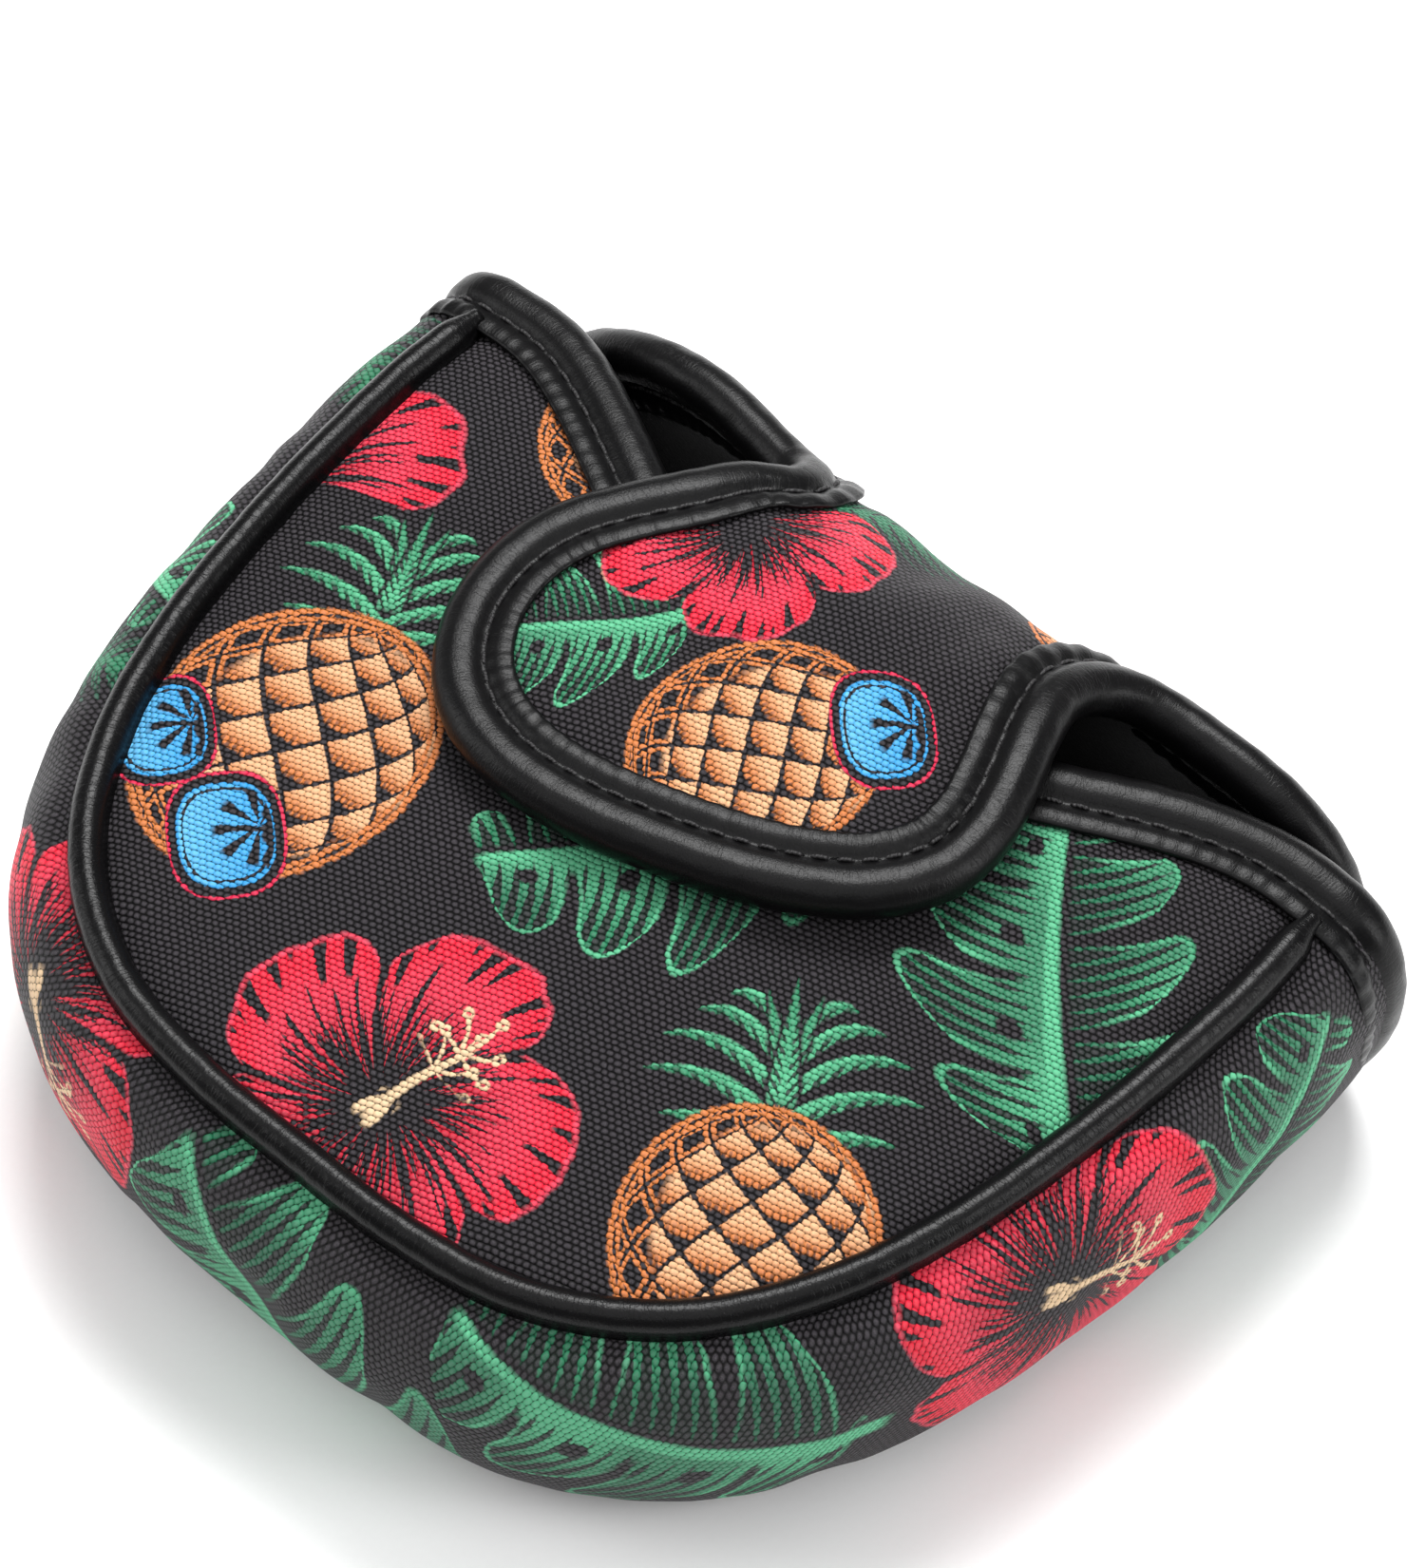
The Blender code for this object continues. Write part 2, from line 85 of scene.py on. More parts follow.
SOLE_END_V = SOLE_FLAT_Y + SOLE_BEND_R * math.pi / 2
LOWER_JOIN_Z = HALF + SOLE_BEND_R     # where the sole's cloth hands over to the wall's
BOUND_W = 7.0                 # how much of a cloth's edge its binding covers
HELD_W = 7.5                  # and how much stays put while the cloth settles
SEWN_W = 1.5                  # the same along a seam
PATH_STEP = 0.7               # between the rings of a binding
TAU = 2 * math.pi

# camera
CAM_TARGET = (0.0, -60.0, 45.0)
CAM_AZ = 43.52
CAM_EL = 57.01
CAM_DIST = 900.0
CAM_VIEW_H = 208.8079         # mm seen from bottom to top, at the target's distance
CAM_AIM = (15.73, 11.66)      # mm right and up of the target, at the target's distance
CAM_SENSOR = 36.0


def place(p):
    """Millimetres in the pattern's own axes to metres in the frame."""
    out = np.asarray(p, float).copy()
    out[..., 1] += SHIFT_Y
    return out * 0.001


# ---- numeric helpers
def catmull(values, t):
    """Smooth curve through the rows of a table; t counts rows."""
    v = np.asarray(values, float)
    t = np.asarray(t, float)
    i = np.clip(np.floor(t).astype(int), 0, len(v) - 2)
    f = t - i
    if v.ndim == 2:
        f = f[..., None]
    ext = np.concatenate([[2 * v[0] - v[1]], v, [2 * v[-1] - v[-2]]])
    p0, p1, p2, p3 = ext[i], ext[i + 1], ext[i + 2], ext[i + 3]
    square = 2 * p0 - 5 * p1 + 4 * p2 - p3
    cube = 3 * p1 - p0 - 3 * p2 + p3
    return 0.5 * (2 * p1 + (p2 - p0) * f + square * f * f + cube * f ** 3)


def unit(a):
    return a / np.linalg.norm(a, axis=-1, keepdims=True)


def length_along(path):
    """Length run up to each point of a path."""
    return np.concatenate([[0], np.cumsum(np.linalg.norm(np.diff(path, axis=0), axis=1))])


def at_run(s, run, table):
    """A table's columns read off at the lengths s."""
    return np.stack([np.interp(s, run, column) for column in table.T], -1)


def hump(distance, width):
    """Bell that is 1 at distance 0."""
    return np.exp(-(distance / width) ** 2)


def smooth01(t):
    t = np.clip(t, 0.0, 1.0)
    return t * t * (3 - 2 * t)


def wave(x, y, seed, scale):
    """Smooth seeded unevenness between about -1 and 1."""
    rng = np.random.RandomState(seed)
    total = np.zeros_like(np.asarray(x, float))
    for k in range(5):
        a = rng.uniform(0, 2 * np.pi)
        f = 2 * np.pi / (scale * rng.uniform(0.7, 1.6))
        total = total + np.sin((x * np.cos(a) + y * np.sin(a)) * f + rng.uniform(0, 2 * np.pi))
    return total / 3.2


def seam_radius(deg):
    ring = (SEAM_RADII[1],) + SEAM_RADII + (SEAM_RADII[-2],)
    return catmull(ring, np.abs(deg) / 15.0 + 1.0)


def seam_point(deg):
    a = np.radians(deg)
    r = seam_radius(deg)
    return np.stack([r * np.sin(a), CENTRE_Y - r * np.cos(a)], -1)


def seam_normal(deg):
    t = seam_point(np.asarray(deg) + 0.5) - seam_point(np.asarray(deg) - 0.5)
    return unit(np.stack([t[..., 1], -t[..., 0]], -1))


def seam_stations(front_y, step=0.9, end_step=1.0):
    """Points and outward normals along the crown seam, toe round the back to heel."""
    degs = np.linspace(-SEAM_ARC_DEG, SEAM_ARC_DEG, int(2 * SEAM_ARC_DEG / step) + 1)
    pts = seam_point(degs)
    nrm = seam_normal(degs)
    q, n = pts[-1], nrm[-1]
    forward = np.array([-n[1], n[0]])
    length = (MOUTH_CORNER_Y - q[1]) / forward[1]
    reach = (front_y - q[1]) / forward[1]
    s = np.linspace(0, reach, max(2, int(reach / end_step)) + 1)[1:]
    mix = (s / length)[:, None]
    heel = q + forward * s[:, None]
    heel_n = unit(n * (1 - mix) + np.array([1.0, 0.0]) * mix)
    flip = np.array([-1.0, 1.0])
    return [np.concatenate([(end * flip)[::-1], line, end]) for end, line in ((heel, pts), (heel_n, nrm))]


def crown_top(x, y):
    x, y = np.asarray(x, float), np.asarray(y, float)
    deg = np.degrees(np.arctan2(x, CENTRE_Y - y))
    s = np.hypot(x, y - CENTRE_Y) / seam_radius(deg)
    return CROWN_EDGE_Z + CROWN_PUFF * np.maximum(0.0, 1 - s * s)


def crown_mid(x, y):
    return crown_top(x, y) - HALF


def mouth_edge(x):
    t = np.abs(x) / MOUTH_HALF_W
    return MOUTH_DIP_Y + (MOUTH_CORNER_Y - MOUTH_DIP_Y) * smooth01((t - 0.2) / 0.78)


def wall_mid_y(x, z):
    across = 1 - smooth01((np.abs(x) - 22.0) / 22.0)
    up = np.maximum(0.0, (z - 26.0) / 19.0)
    return WALL_Y - WALL_LEAN * across * up * up


def flap_mid_z(x, y):
    x, y = np.asarray(x, float), np.asarray(y, float)
    settle = 0.4 * smooth01((-20.0 - y) / 14.0)
    lie = crown_top(x, y) + FLAP_LIFT - settle
    hinge_y = wall_mid_y(x, FLAP_FOLD_Z)
    amount = crown_top(x, hinge_y) + FLAP_LIFT - FLAP_FOLD_Z
    t = np.clip((y - FLAP_DROP_Y) / (hinge_y - FLAP_DROP_Y), 0.0, 1.05)
    return lie - amount * t ** 2.2


def height_normal(height, x, y):
    e = 0.15
    dx = (height(x + e, y) - height(x - e, y)) / (2 * e)
    dy = (height(x, y + e) - height(x, y - e)) / (2 * e)
    return unit(np.stack([-dx, -dy, np.ones_like(dx)], -1))


def resample(path, step):
    run = length_along(path)
    return at_run(np.linspace(0, run[-1], max(2, int(round(run[-1] / step)) + 1)), run, path)


# ---- mesh helpers
def make_mesh(name, verts, faces, uvs=None, materials=(), indices=None, smooth=True):
    mesh = bpy.data.meshes.new(name)
    mesh.from_pydata([tuple(v) for v in place(verts)], [], [tuple(int(i) for i in f) for f in faces])
    if uvs is not None:
        layer = mesh.uv_layers.new(name="cloth")
        loop_verts = np.empty(len(mesh.loops), dtype=np.int32)
        mesh.loops.foreach_get("vertex_index", loop_verts)
        layer.data.foreach_set("uv", np.asarray(uvs, np.float32)[loop_verts].ravel())
    obj = bpy.data.objects.new(name, mesh)
    bpy.context.scene.collection.objects.link(obj)
    for m in materials:
        mesh.materials.append(m)
    if indices is not None:
        mesh.polygons.foreach_set("material_index", np.asarray(indices, np.int32))
    mesh.polygons.foreach_set("use_smooth", [smooth] * len(mesh.polygons))
    mesh.update()
    return obj


def inside(poly, pts):
    x, y = pts[:, 0], pts[:, 1]
    result = np.zeros(len(pts), bool)
    px, py = poly[:, 0], poly[:, 1]
    j = len(poly) - 1
    for i in range(len(poly)):
        cross = (py[i] > y) != (py[j] > y)
        with np.errstate(divide="ignore", invalid="ignore"):
            at = (px[j] - px[i]) * (y - py[i]) / (py[j] - py[i]) + px[i]
        result ^= cross & (x < at)
        j = i
    return result


def edge_distance(poly, pts):
    best = np.full(len(pts), 1e9)
    nxt = np.roll(poly, -1, axis=0)
    for a, b in zip(poly, nxt):
        ab = b - a
        t = np.clip(((pts - a) @ ab) / max(ab @ ab, 1e-9), 0, 1)
        d = np.linalg.norm(pts - (a + t[:, None] * ab), axis=1)
        best = np.minimum(best, d)
    return best


ROW_SPACING = 0.866           # rows of even triangles, over the spacing in a row
EDGE_CLEARANCE = 0.55         # from an outline to the nearest inner point, over the spacing


def flat_mesh(outline, spacing):
    """Even triangles inside an outline: points and triangles."""
    outline = resample(np.concatenate([outline, outline[:1]]), spacing)[:-1]
    low, high = outline.min(0), outline.max(0)
    rows = []
    for k, y in enumerate(np.arange(low[1], high[1], spacing * ROW_SPACING)):
        xs = np.arange(low[0] + (k % 2) * spacing / 2, high[0], spacing)
        rows.append(np.stack([xs, np.full(len(xs), y)], 1))
    pts = np.concatenate(rows)
    pts = pts[inside(outline, pts)]
    pts = pts[edge_distance(outline, pts) > EDGE_CLEARANCE * spacing]
    n = len(outline)
    edges = [(i, (i + 1) % n) for i in range(n)]
    corners = [Vector(p) for p in np.concatenate([outline, pts])]
    result = delaunay_2d_cdt(corners, edges, [list(range(n))], 1, 1e-4)
    return np.array([tuple(v) for v in result[0]]), result[2]


def turned_outward(pts, tris, p, n):
    """The flat triangles, all wound so that they face along the surface's normals."""
    tri = np.array(tris)
    a, b, c = pts[tri[:, 0]], pts[tri[:, 1]], pts[tri[:, 2]]
    sign = (b[:, 0] - a[:, 0]) * (c[:, 1] - a[:, 1]) - (b[:, 1] - a[:, 1]) * (c[:, 0] - a[:, 0])
    tri[sign < 0] = tri[sign < 0][:, ::-1]
    facing = np.cross(p[tri[:, 1]] - p[tri[:, 0]], p[tri[:, 2]] - p[tri[:, 0]])
    if np.sum(facing * n[tri[:, 0]]) < 0:
        tri = tri[:, ::-1]
    return tri


CLOTH_SPACING = 4.2           # between the simulated cloth's points
CLOTH_FRAMES = 20
CLOTH_PUFF = 0.95             # how far most of the cloth may lift off its pattern
CLOTH_LIMIT = 1.5             # and how far any point may
CLOTH_SETTINGS = {"quality": 6, "mass": 0.15, "tension_stiffness": 15.0, "compression_stiffness": 15.0,
                  "shear_stiffness": 5.0, "bending_stiffness": 0.3, "use_pressure": True,
                  "uniform_pressure_force": 4.0, "shrink_min": -0.05, "vertex_group_mass": "held"}


def settle_cloth(name, outline, surface, held):
    """Slack cloth, held where held(points) says, lifted by soft filling: flat points and their lift."""
    outline = np.asarray(outline, float)
    pts, tris = flat_mesh(outline, CLOTH_SPACING)
    p, n = surface(pts)
    obj = make_mesh(name, p, turned_outward(pts, tris, p, n))
    pins = obj.vertex_groups.new(name="held")
    pins.add([int(i) for i in np.nonzero(held(pts))[0]], 1.0, "REPLACE")
    settings = obj.modifiers.new("cloth", "CLOTH").settings
    for key, value in CLOTH_SETTINGS.items():
        setattr(settings, key, value)
    settings.effector_weights.gravity = 0.0
    for tick in range(1, CLOTH_FRAMES + 1):
        bpy.context.scene.frame_set(tick)
    mesh = obj.evaluated_get(bpy.context.evaluated_depsgraph_get()).data
    settled = np.empty(len(mesh.vertices) * 3)
    mesh.vertices.foreach_get("co", settled)
    lift = np.sum((settled.reshape(-1, 3) - place(p)) * n, axis=1) * 1000.0
    bpy.data.objects.remove(obj)
    bpy.context.scene.frame_set(1)
    usual = np.percentile(np.abs(lift), 90)
    return pts, np.clip(lift * min(1.0, CLOTH_PUFF / max(usual, 1e-6)), -CLOTH_LIMIT, CLOTH_LIMIT)


def lift_at(cloth, points):
    """The settled cloth's lift carried over to finer points."""
    coarse, lift = cloth
    reach = CLOTH_SPACING * 0.55
    out = []
    for part in np.array_split(points, max(1, len(points) // 1500)):
        away = ((part[:, None, :] - coarse[None]) ** 2).sum(-1)
        weight = np.exp(-away / (2 * reach * reach))
        out.append((weight @ lift) / weight.sum(1))
    return np.concatenate(out)


def panel(name, outline, spacing, surface, high, low, materials, uv=None):
    """Closed padded panel: top and bottom skins over a flat triangulation, joined round the rim."""
    pts, tris = flat_mesh(outline, spacing)
    p, n = surface(pts)
    top = p + n * high(pts)[:, None]
    bottom = p + n * low(pts)[:, None]
    base = len(pts)
    tri = turned_outward(pts, tris, p, n)
    count = {}
    for f in tri:
        for k in range(3):
            e = (int(f[k]), int(f[(k + 1) % 3]))
            count[e] = count.get(e, 0) + 1
    rim = [e for e in count if (e[1], e[0]) not in count]
    faces = [tuple(f) for f in tri] + [tuple(base + f[::-1]) for f in tri]
    faces += [(e[1], e[0], base + e[0], base + e[1]) for e in rim]
    index = [0] * len(tri) + [1] * len(tri) + [1] * len(rim)
    flat = pts if uv is None else uv(pts)
    uvs = np.concatenate([flat, flat])
    return make_mesh(name, np.concatenate([top, bottom]), faces, uvs, materials, index)


def tube_faces(rings, size, base=0):
    """Faces of a tube of closed rings, capped at both ends."""
    faces = []
    for i in range(rings - 1):
        for k in range(size):
            a, m = base + i * size, (k + 1) % size
            faces.append((a + k, a + size + k, a + size + m, a + m))
    faces.append(tuple(base + k for k in range(size)))
    faces.append(tuple(base + (rings - 1) * size + k for k in reversed(range(size))))
    return faces


def sweep(name, centres, u_dirs, v_dirs, sections, material):
    """Loft of closed sections along a path; sections is (rings, points, 2)."""
    rings, size = sections.shape[:2]
    flat = centres[:, None] + u_dirs[:, None] * sections[:, :, :1] + v_dirs[:, None] * sections[:, :, 1:]
    flat = flat.reshape(-1, 3)
    around = length_along(sections[rings // 2])
    uvs = np.stack(np.meshgrid(length_along(centres), around, indexing="ij"), -1).reshape(-1, 2)
    faces = tube_faces(rings, size)
    # the faces of the middle ring tell which way is out
    ring = range(rings // 2 * size, (rings // 2 + 1) * size)
    mid = flat[ring.start:ring.stop].mean(0)
    signed = 0.0
    for a, b, c, d in faces[ring.start:ring.stop]:
        signed += float(np.dot(np.cross(flat[b] - flat[a], flat[d] - flat[a]), (flat[a] + flat[c]) / 2 - mid))
    if signed < 0:
        faces = [q[::-1] for q in faces]
    return make_mesh(name, flat, faces, uvs, [material])


# ---- material graphs
class Num:
    """A value that varies over a surface; arithmetic on it adds Math nodes."""

    def __init__(self, graph, socket):
        self.graph = graph
        self.socket = socket

    def op(self, kind, other=None):
        node = self.graph.add("Math", {0: self}, operation=kind)
        if other is not None:
            self.graph.plug(node.inputs[1], other)
        return Num(self.graph, node.outputs[0])

    def __rsub__(self, other):
        return self.op("MULTIPLY", -1.0).op("ADD", other)

    def ramp(self, low, high):
        """0 below low, 1 above high (or the other way round when low > high)."""
        ends = {"Value": self, "From Min": low, "From Max": high}
        return Num(self.graph, self.graph.add("MapRange", ends, clamp=True).outputs["Result"])

    __add__ = __radd__ = partialmethod(op, "ADD")
    __sub__ = partialmethod(op, "SUBTRACT")
    __mul__ = partialmethod(op, "MULTIPLY")
    __truediv__ = partialmethod(op, "DIVIDE")
    __abs__ = partialmethod(op, "ABSOLUTE")
    power = partialmethod(op, "POWER")
    sin = partialmethod(op, "SINE")
    fract = partialmethod(op, "FRACT")
    floor = partialmethod(op, "FLOOR")
    root = partialmethod(op, "SQRT")
    least = partialmethod(op, "MINIMUM")
    most = partialmethod(op, "MAXIMUM")


class Graph:
    """Short names for building one material's nodes."""

    def __init__(self, name):
        self.mat = bpy.data.materials.new(name)
        self.mat.use_nodes = True
        self.tree = self.mat.node_tree
        self.tree.nodes.clear()
        self.bsdf = self.add("BsdfPrincipled")
        self.add("OutputMaterial", {"Surface": self.bsdf.outputs[0]})

    def add(self, kind, inputs=(), **props):
        node = self.tree.nodes.new("ShaderNode" + kind)
        for key, value in props.items():
            setattr(node, key, value)
        for key, value in dict(inputs).items():
            self.plug(node.inputs[key], value)
        return node

    def plug(self, socket, value):
        """Link a socket, or set it where the value is constant."""
        if isinstance(value, Num):
            value = value.socket
        if isinstance(value, bpy.types.NodeSocket):
            self.tree.links.new(value, socket)
        else:
            socket.default_value = value

    def finish(self, inputs):
        for key, value in inputs.items():
            self.plug(self.bsdf.inputs[key], value)
        return self.mat

    def uv(self):
        """Cloth coordinates of the panel, in millimetres."""
        return self.add("UVMap", uv_map="cloth").outputs[0]

    def object_at(self):
        return self.add("TexCoord").outputs["Object"]

    def split(self, vector):
        return [Num(self, out) for out in self.add("SeparateXYZ", {0: vector}).outputs]

    def join(self, x, y):
        return self.add("CombineXYZ", {0: x, 1: y}).outputs[0]

    def angle(self, y, x):
        return y.op("ARCTAN2", x)

    def length(self, x, y):
        return (x * x + y * y).root()

    def noise(self, vector, scale, detail=2.0, rough=0.5, at="Vector", kind="3D"):
        inputs = {at: vector, "Scale": scale, "Detail": detail, "Roughness": rough}
        return Num(self, self.add("TexNoise", inputs, noise_dimensions=kind).outputs[0])

    def streaks(self, value, scale, detail=0.0, rough=0.5):
        """Noise along a single number."""
        return self.noise(value, scale, detail, rough, "W", "1D")

    def mix(self, amount, a, b):
        """Colour a where amount is 0 and b where it is 1."""
        return self.add("Mix", {0: amount, 6: a, 7: b}, data_type="RGBA").outputs[2]

    def layer(self, colour, *layers):
        """The colour under (amount, colour) layers, the last on top."""
        for amount, over in layers:
            colour = self.mix(amount, colour, over)
        return colour

    def local(self, vector, placements, middle=0.0):
        """Coordinates in the placement (x, y, degrees, size) whose (middle, 0) is nearest."""
        best = None
        for x, y, turn, size in placements:
            inputs = {"Vector": vector, "Location": (x, y, 0.0), "Rotation": (0.0, 0.0, math.radians(turn)),
                      "Scale": (size, size, size)}
            here = self.add("Mapping", inputs, vector_type="TEXTURE").outputs[0]
            far = self.add("VectorMath", {0: here, 1: (middle, 0.0, 0.0)}, operation="DISTANCE")
            distance = Num(self, far.outputs["Value"])
            if best is None:
                best, nearest = here, distance
                continue
            closer = {0: distance.op("LESS_THAN", nearest), 4: best, 5: here}
            best = self.add("Mix", closer, data_type="VECTOR").outputs[1]
            nearest = nearest.least(distance)
        return self.split(best)[:2]

    def bump(self, height, distance, strength=1.0):
        inputs = {"Strength": strength, "Distance": distance, "Height": height}
        return self.add("Bump", inputs).outputs[0]


def srgb(code):
    """Linear colour of a six-digit screen colour."""
    values = [int(code[k:k + 2], 16) / 255 for k in (0, 2, 4)]
    return tuple(v / 12.92 if v <= 0.04045 else ((v + 0.055) / 1.055) ** 2.4 for v in values) + (1.0,)


BLACK = srgb("090709")
BLACK_WORN = srgb("0e0c0e")
INK = srgb("0f0d0f")
RED_DEEP = srgb("c00f2c")
RED = srgb("ea1736")
PINK = srgb("f9445f")
CREAM = srgb("efcda2")
GREEN_DARK = srgb("0d5138")
GREEN = srgb("1f7b53")
GREEN_LIGHT = srgb("5bbd8c")
TAN = srgb("f2b888")
ORANGE = srgb("d57c3e")
BLUE = srgb("2f9fe4")
BLUE_PALE = srgb("62bdf0")
ROSE = srgb("dc1f4a")
YARN_TOP_HIGHLIGHT = srgb("aea6b0")     # painted highlight on a yarn's top, where it would catch light
# painted shade in the gaps between the yarns
YARN_GAP_SHADE = srgb("040304")
# painted glint specks on the yarn tops
GLINT_SPECK = srgb("a8a0a4")
LEAF_MIDDLE = 0.45            # of a leaf that runs from (0, 0) to (1, 0)
PETALS = 5.0
LENS_SQUARENESS = 2.7         # 2 is an ellipse


def band(value, middle, half, soft):
    """1 where value is within half of middle."""
    return abs(value - middle).ramp(half + soft, half)


def hibiscus(g, under, vector, placements, stamen_shown=True):
    """Five fan petals, dark throat with streaks, rim dashes, and a stamen pointing along +x."""
    x, y = g.local(vector, placements)
    r = g.length(x, y)
    swirl = g.angle(y, x) + r * 0.30
    turn = swirl * (PETALS / TAU) + (0.0 if stamen_shown else 0.5)
    edge = abs(turn.fract() - 0.5) * 2.0
    ruffle = g.streaks(swirl, 3.2, 1.0) - 0.5
    out = r / (1.04 - edge.power(3.2) * 0.30 + ruffle * 0.14)
    petal = out.ramp(1.0, 0.975)
    gap_width = r.ramp(0.2, 1.0) * 0.035 + 0.018
    gap = (1.0 - edge).ramp(gap_width * 1.7, gap_width * 0.8) * r.ramp(0.12, 0.24)
    fine = g.streaks(swirl, 17.0, 1.0, 0.6)
    coarse = g.streaks(swirl + 7.0, 6.5)
    throat_reach = fine.ramp(0.38, 0.66) * 0.42 + coarse.ramp(0.35, 0.7) * 0.22 + 0.18
    throat = (r - throat_reach).ramp(0.02, -0.03)
    dash_reach = 1.0 - g.streaks(swirl + 31.0, 11.0).ramp(0.50, 0.72) * 0.26
    dash = (out - dash_reach).ramp(-0.01, 0.02) * out.ramp(0.985, 0.95)
    vein = g.streaks(swirl + 3.0, 26.0).ramp(0.52, 0.66) * r.ramp(0.9, 0.45)
    colour = g.layer(RED_DEEP, (out.ramp(0.35, 0.80), PINK), (out.ramp(0.58, 0.88), RED),
                     (vein * 0.75, RED_DEEP), (out.ramp(0.955, 0.975), PINK),
                     (throat.most(gap).most(dash), INK))
    if not stamen_shown:
        return g.mix(petal * abs(swirl).ramp(1.885, 1.855), under, colour)
    wobble = (x * 9.0).sin() * 0.015
    thick = x.ramp(-0.05, 0.5) * -0.018 + 0.040
    stalk = abs(y - wobble).ramp(thick, 0.018) * x.ramp(-0.14, -0.10) * x.ramp(0.56, 0.50)
    roots = abs((g.angle(y, x - 0.12) * 6.0).sin()).ramp(0.45, 0.75) * g.length(x - 0.02, y).ramp(0.19, 0.15)
    stamen = stalk.most(roots * x.ramp(0.08, 0.0) * abs(y).ramp(0.085, 0.070))
    # (where the arms leave the stalk, how many would fill a circle, shortest arm, widest angle)
    for middle, count, shortest, widest in ((0.30, 9.0, 0.13, 1.45), (0.46, 8.0, 0.11, 2.0)):
        tr = g.length(x - middle, y)
        ta = g.angle(y, x - middle)
        part = ta * (count / TAU) + 0.5
        spread = (part.fract() - 0.5 + (tr * 18.0).sin() * 0.10) * tr
        past = tr - (g.streaks(part.floor() + middle * 40.0, 2.3) * 0.20 + shortest)
        arm = abs(spread * 0.8).ramp(0.015, 0.007) * past.ramp(0.0, -0.03)
        dot = g.length(past, spread * 0.85)
        dots = dot.ramp(0.040, 0.031) * dot.ramp(0.008, 0.016)
        stamen = stamen.most(arm.most(dots) * abs(ta).ramp(widest, widest - 0.2))
    return g.layer(under, (petal, colour), (stamen, CREAM))


def bloom(g, under, vector, placements):
    """The same flower from the side: three petals fanned along +x, the stamen hidden."""
    return hibiscus(g, under, vector, placements, stamen_shown=False)


def monstera(g, under, vector, placements):
    """Split leaf, base at the origin and tip at (1, 0): one half solid by the rib, the other by its rim."""
    x, y = g.local(vector, placements, LEAF_MIDDLE)
    bend = y - (x * (1.0 - x)) * 0.14
    side = abs(bend)
    lit = bend.op("GREATER_THAN", 0.0)
    dim = 1.0 - lit
    along = (x - side * 0.14).ramp(-0.16, 1.0)
    half = along.power(0.40) * (1.0 - along).most(0.0).power(0.60) * 0.88
    q = side / half.most(0.01)
    turn = (x - side * 0.10 - side * side * 0.90 + lit * 0.15) * 3.3 + 0.25
    t = turn.fract()
    uneven = g.streaks(turn.floor() + lit * 9.0, 3.7) - 0.5
    # slots widen outward; each lobe rounds off at its near corner and ends in a point at the far one
    gap = q.ramp(0.12, 1.0) * 0.30 - lit * 0.07 + 0.08
    off = (t - 0.44) * 2.3
    rim = 1.0 - off * off * 0.36 + uneven * 0.30 - q
    across = (1.0 - gap - t).least(t * 0.8)
    joined = q.ramp(0.24, 0.14) * lit
    within = x.ramp(0.98, 0.95) * x.ramp(-0.15, -0.12)
    lobe = across.ramp(0.0, 0.025).most(joined) * rim.ramp(0.0, 0.02) * within
    lines = (turn * (TAU * 6.0) + side * 6.0).sin()
    hollow = q.ramp(0.10, 0.72) * -1.5
    solid = q.ramp(0.12, 0.90) * -1.9
    solid_hatch = 1.0 - lines.ramp(solid + 0.85, solid + 1.05)
    hatch = lines.ramp(hollow + 0.95, hollow + 1.15) * lit + solid_hatch * dim
    edging = across.ramp(0.062, 0.045).most(rim.ramp(0.060, 0.045)) * q.ramp(0.25, 0.5)
    holes = g.length((t - 0.42) * 0.9, (q - 0.27) * 1.1).ramp(0.110, 0.085) * lit
    tone = g.noise(vector, 0.045, 0.0).ramp(0.40, 0.60)
    colour = g.layer(GREEN_LIGHT, (q.ramp(0.05, 0.75) * lit + q.ramp(0.9, 0.4) * dim, GREEN),
                     (tone * 0.60, GREEN_DARK), (hatch * 0.94, INK),
                     (edging, g.mix(tone * 0.5, GREEN_LIGHT, GREEN)), (holes, INK))
    rest = 1.0 - x
    rib = side.ramp(rest * 0.020 + 0.016, rest * 0.016 + 0.005) * x.ramp(-0.24, -0.20) * x.ramp(0.97, 0.93)
    rib_dark = side.ramp(rest * 0.028 + 0.040, rest * 0.026 + 0.026) * x.ramp(-0.1, 0.0)
    return g.layer(under, (lobe, colour), (rib_dark * lobe * dim, INK), (rib, GREEN_LIGHT))


def palm(g, under, vector, placements):
    """Feathered frond from the origin to (1, 0), hatched leaflets on both sides."""
    x, y = g.local(vector, placements, LEAF_MIDDLE)
    side = abs(y - (x * (1.0 - x)) * 0.26)
    along = x.ramp(-0.05, 1.05)
    half = along.power(0.45) * (1.0 - along).power(0.5) * 0.62
    q = side / half.most(0.01)
    turn = x * 10.0 - side * 6.0 - side * side * 9.0
    leaflet = turn.fract()
    taper = q.power(1.6) * -0.34
    mask = abs(leaflet - 0.45).ramp(taper + 0.42, taper + 0.37) * q.ramp(1.0, 0.95) * x.ramp(-0.05, -0.02)
    hatch = (turn * (TAU * 4.0)).sin().ramp(0.0, 0.5) * q.ramp(0.15, 0.35)
    colour = g.layer(GREEN, (q.ramp(0.0, 0.7), GREEN_DARK), (hatch * 0.85, INK),
                     (leaflet.ramp(0.14, 0.08), GREEN))
    rib = side.ramp(0.022, 0.010) * x.ramp(-0.12, -0.08) * x.ramp(1.0, 0.96)
    return g.mix(mask.most(rib) * x.ramp(1.04, 1.0), under, colour)


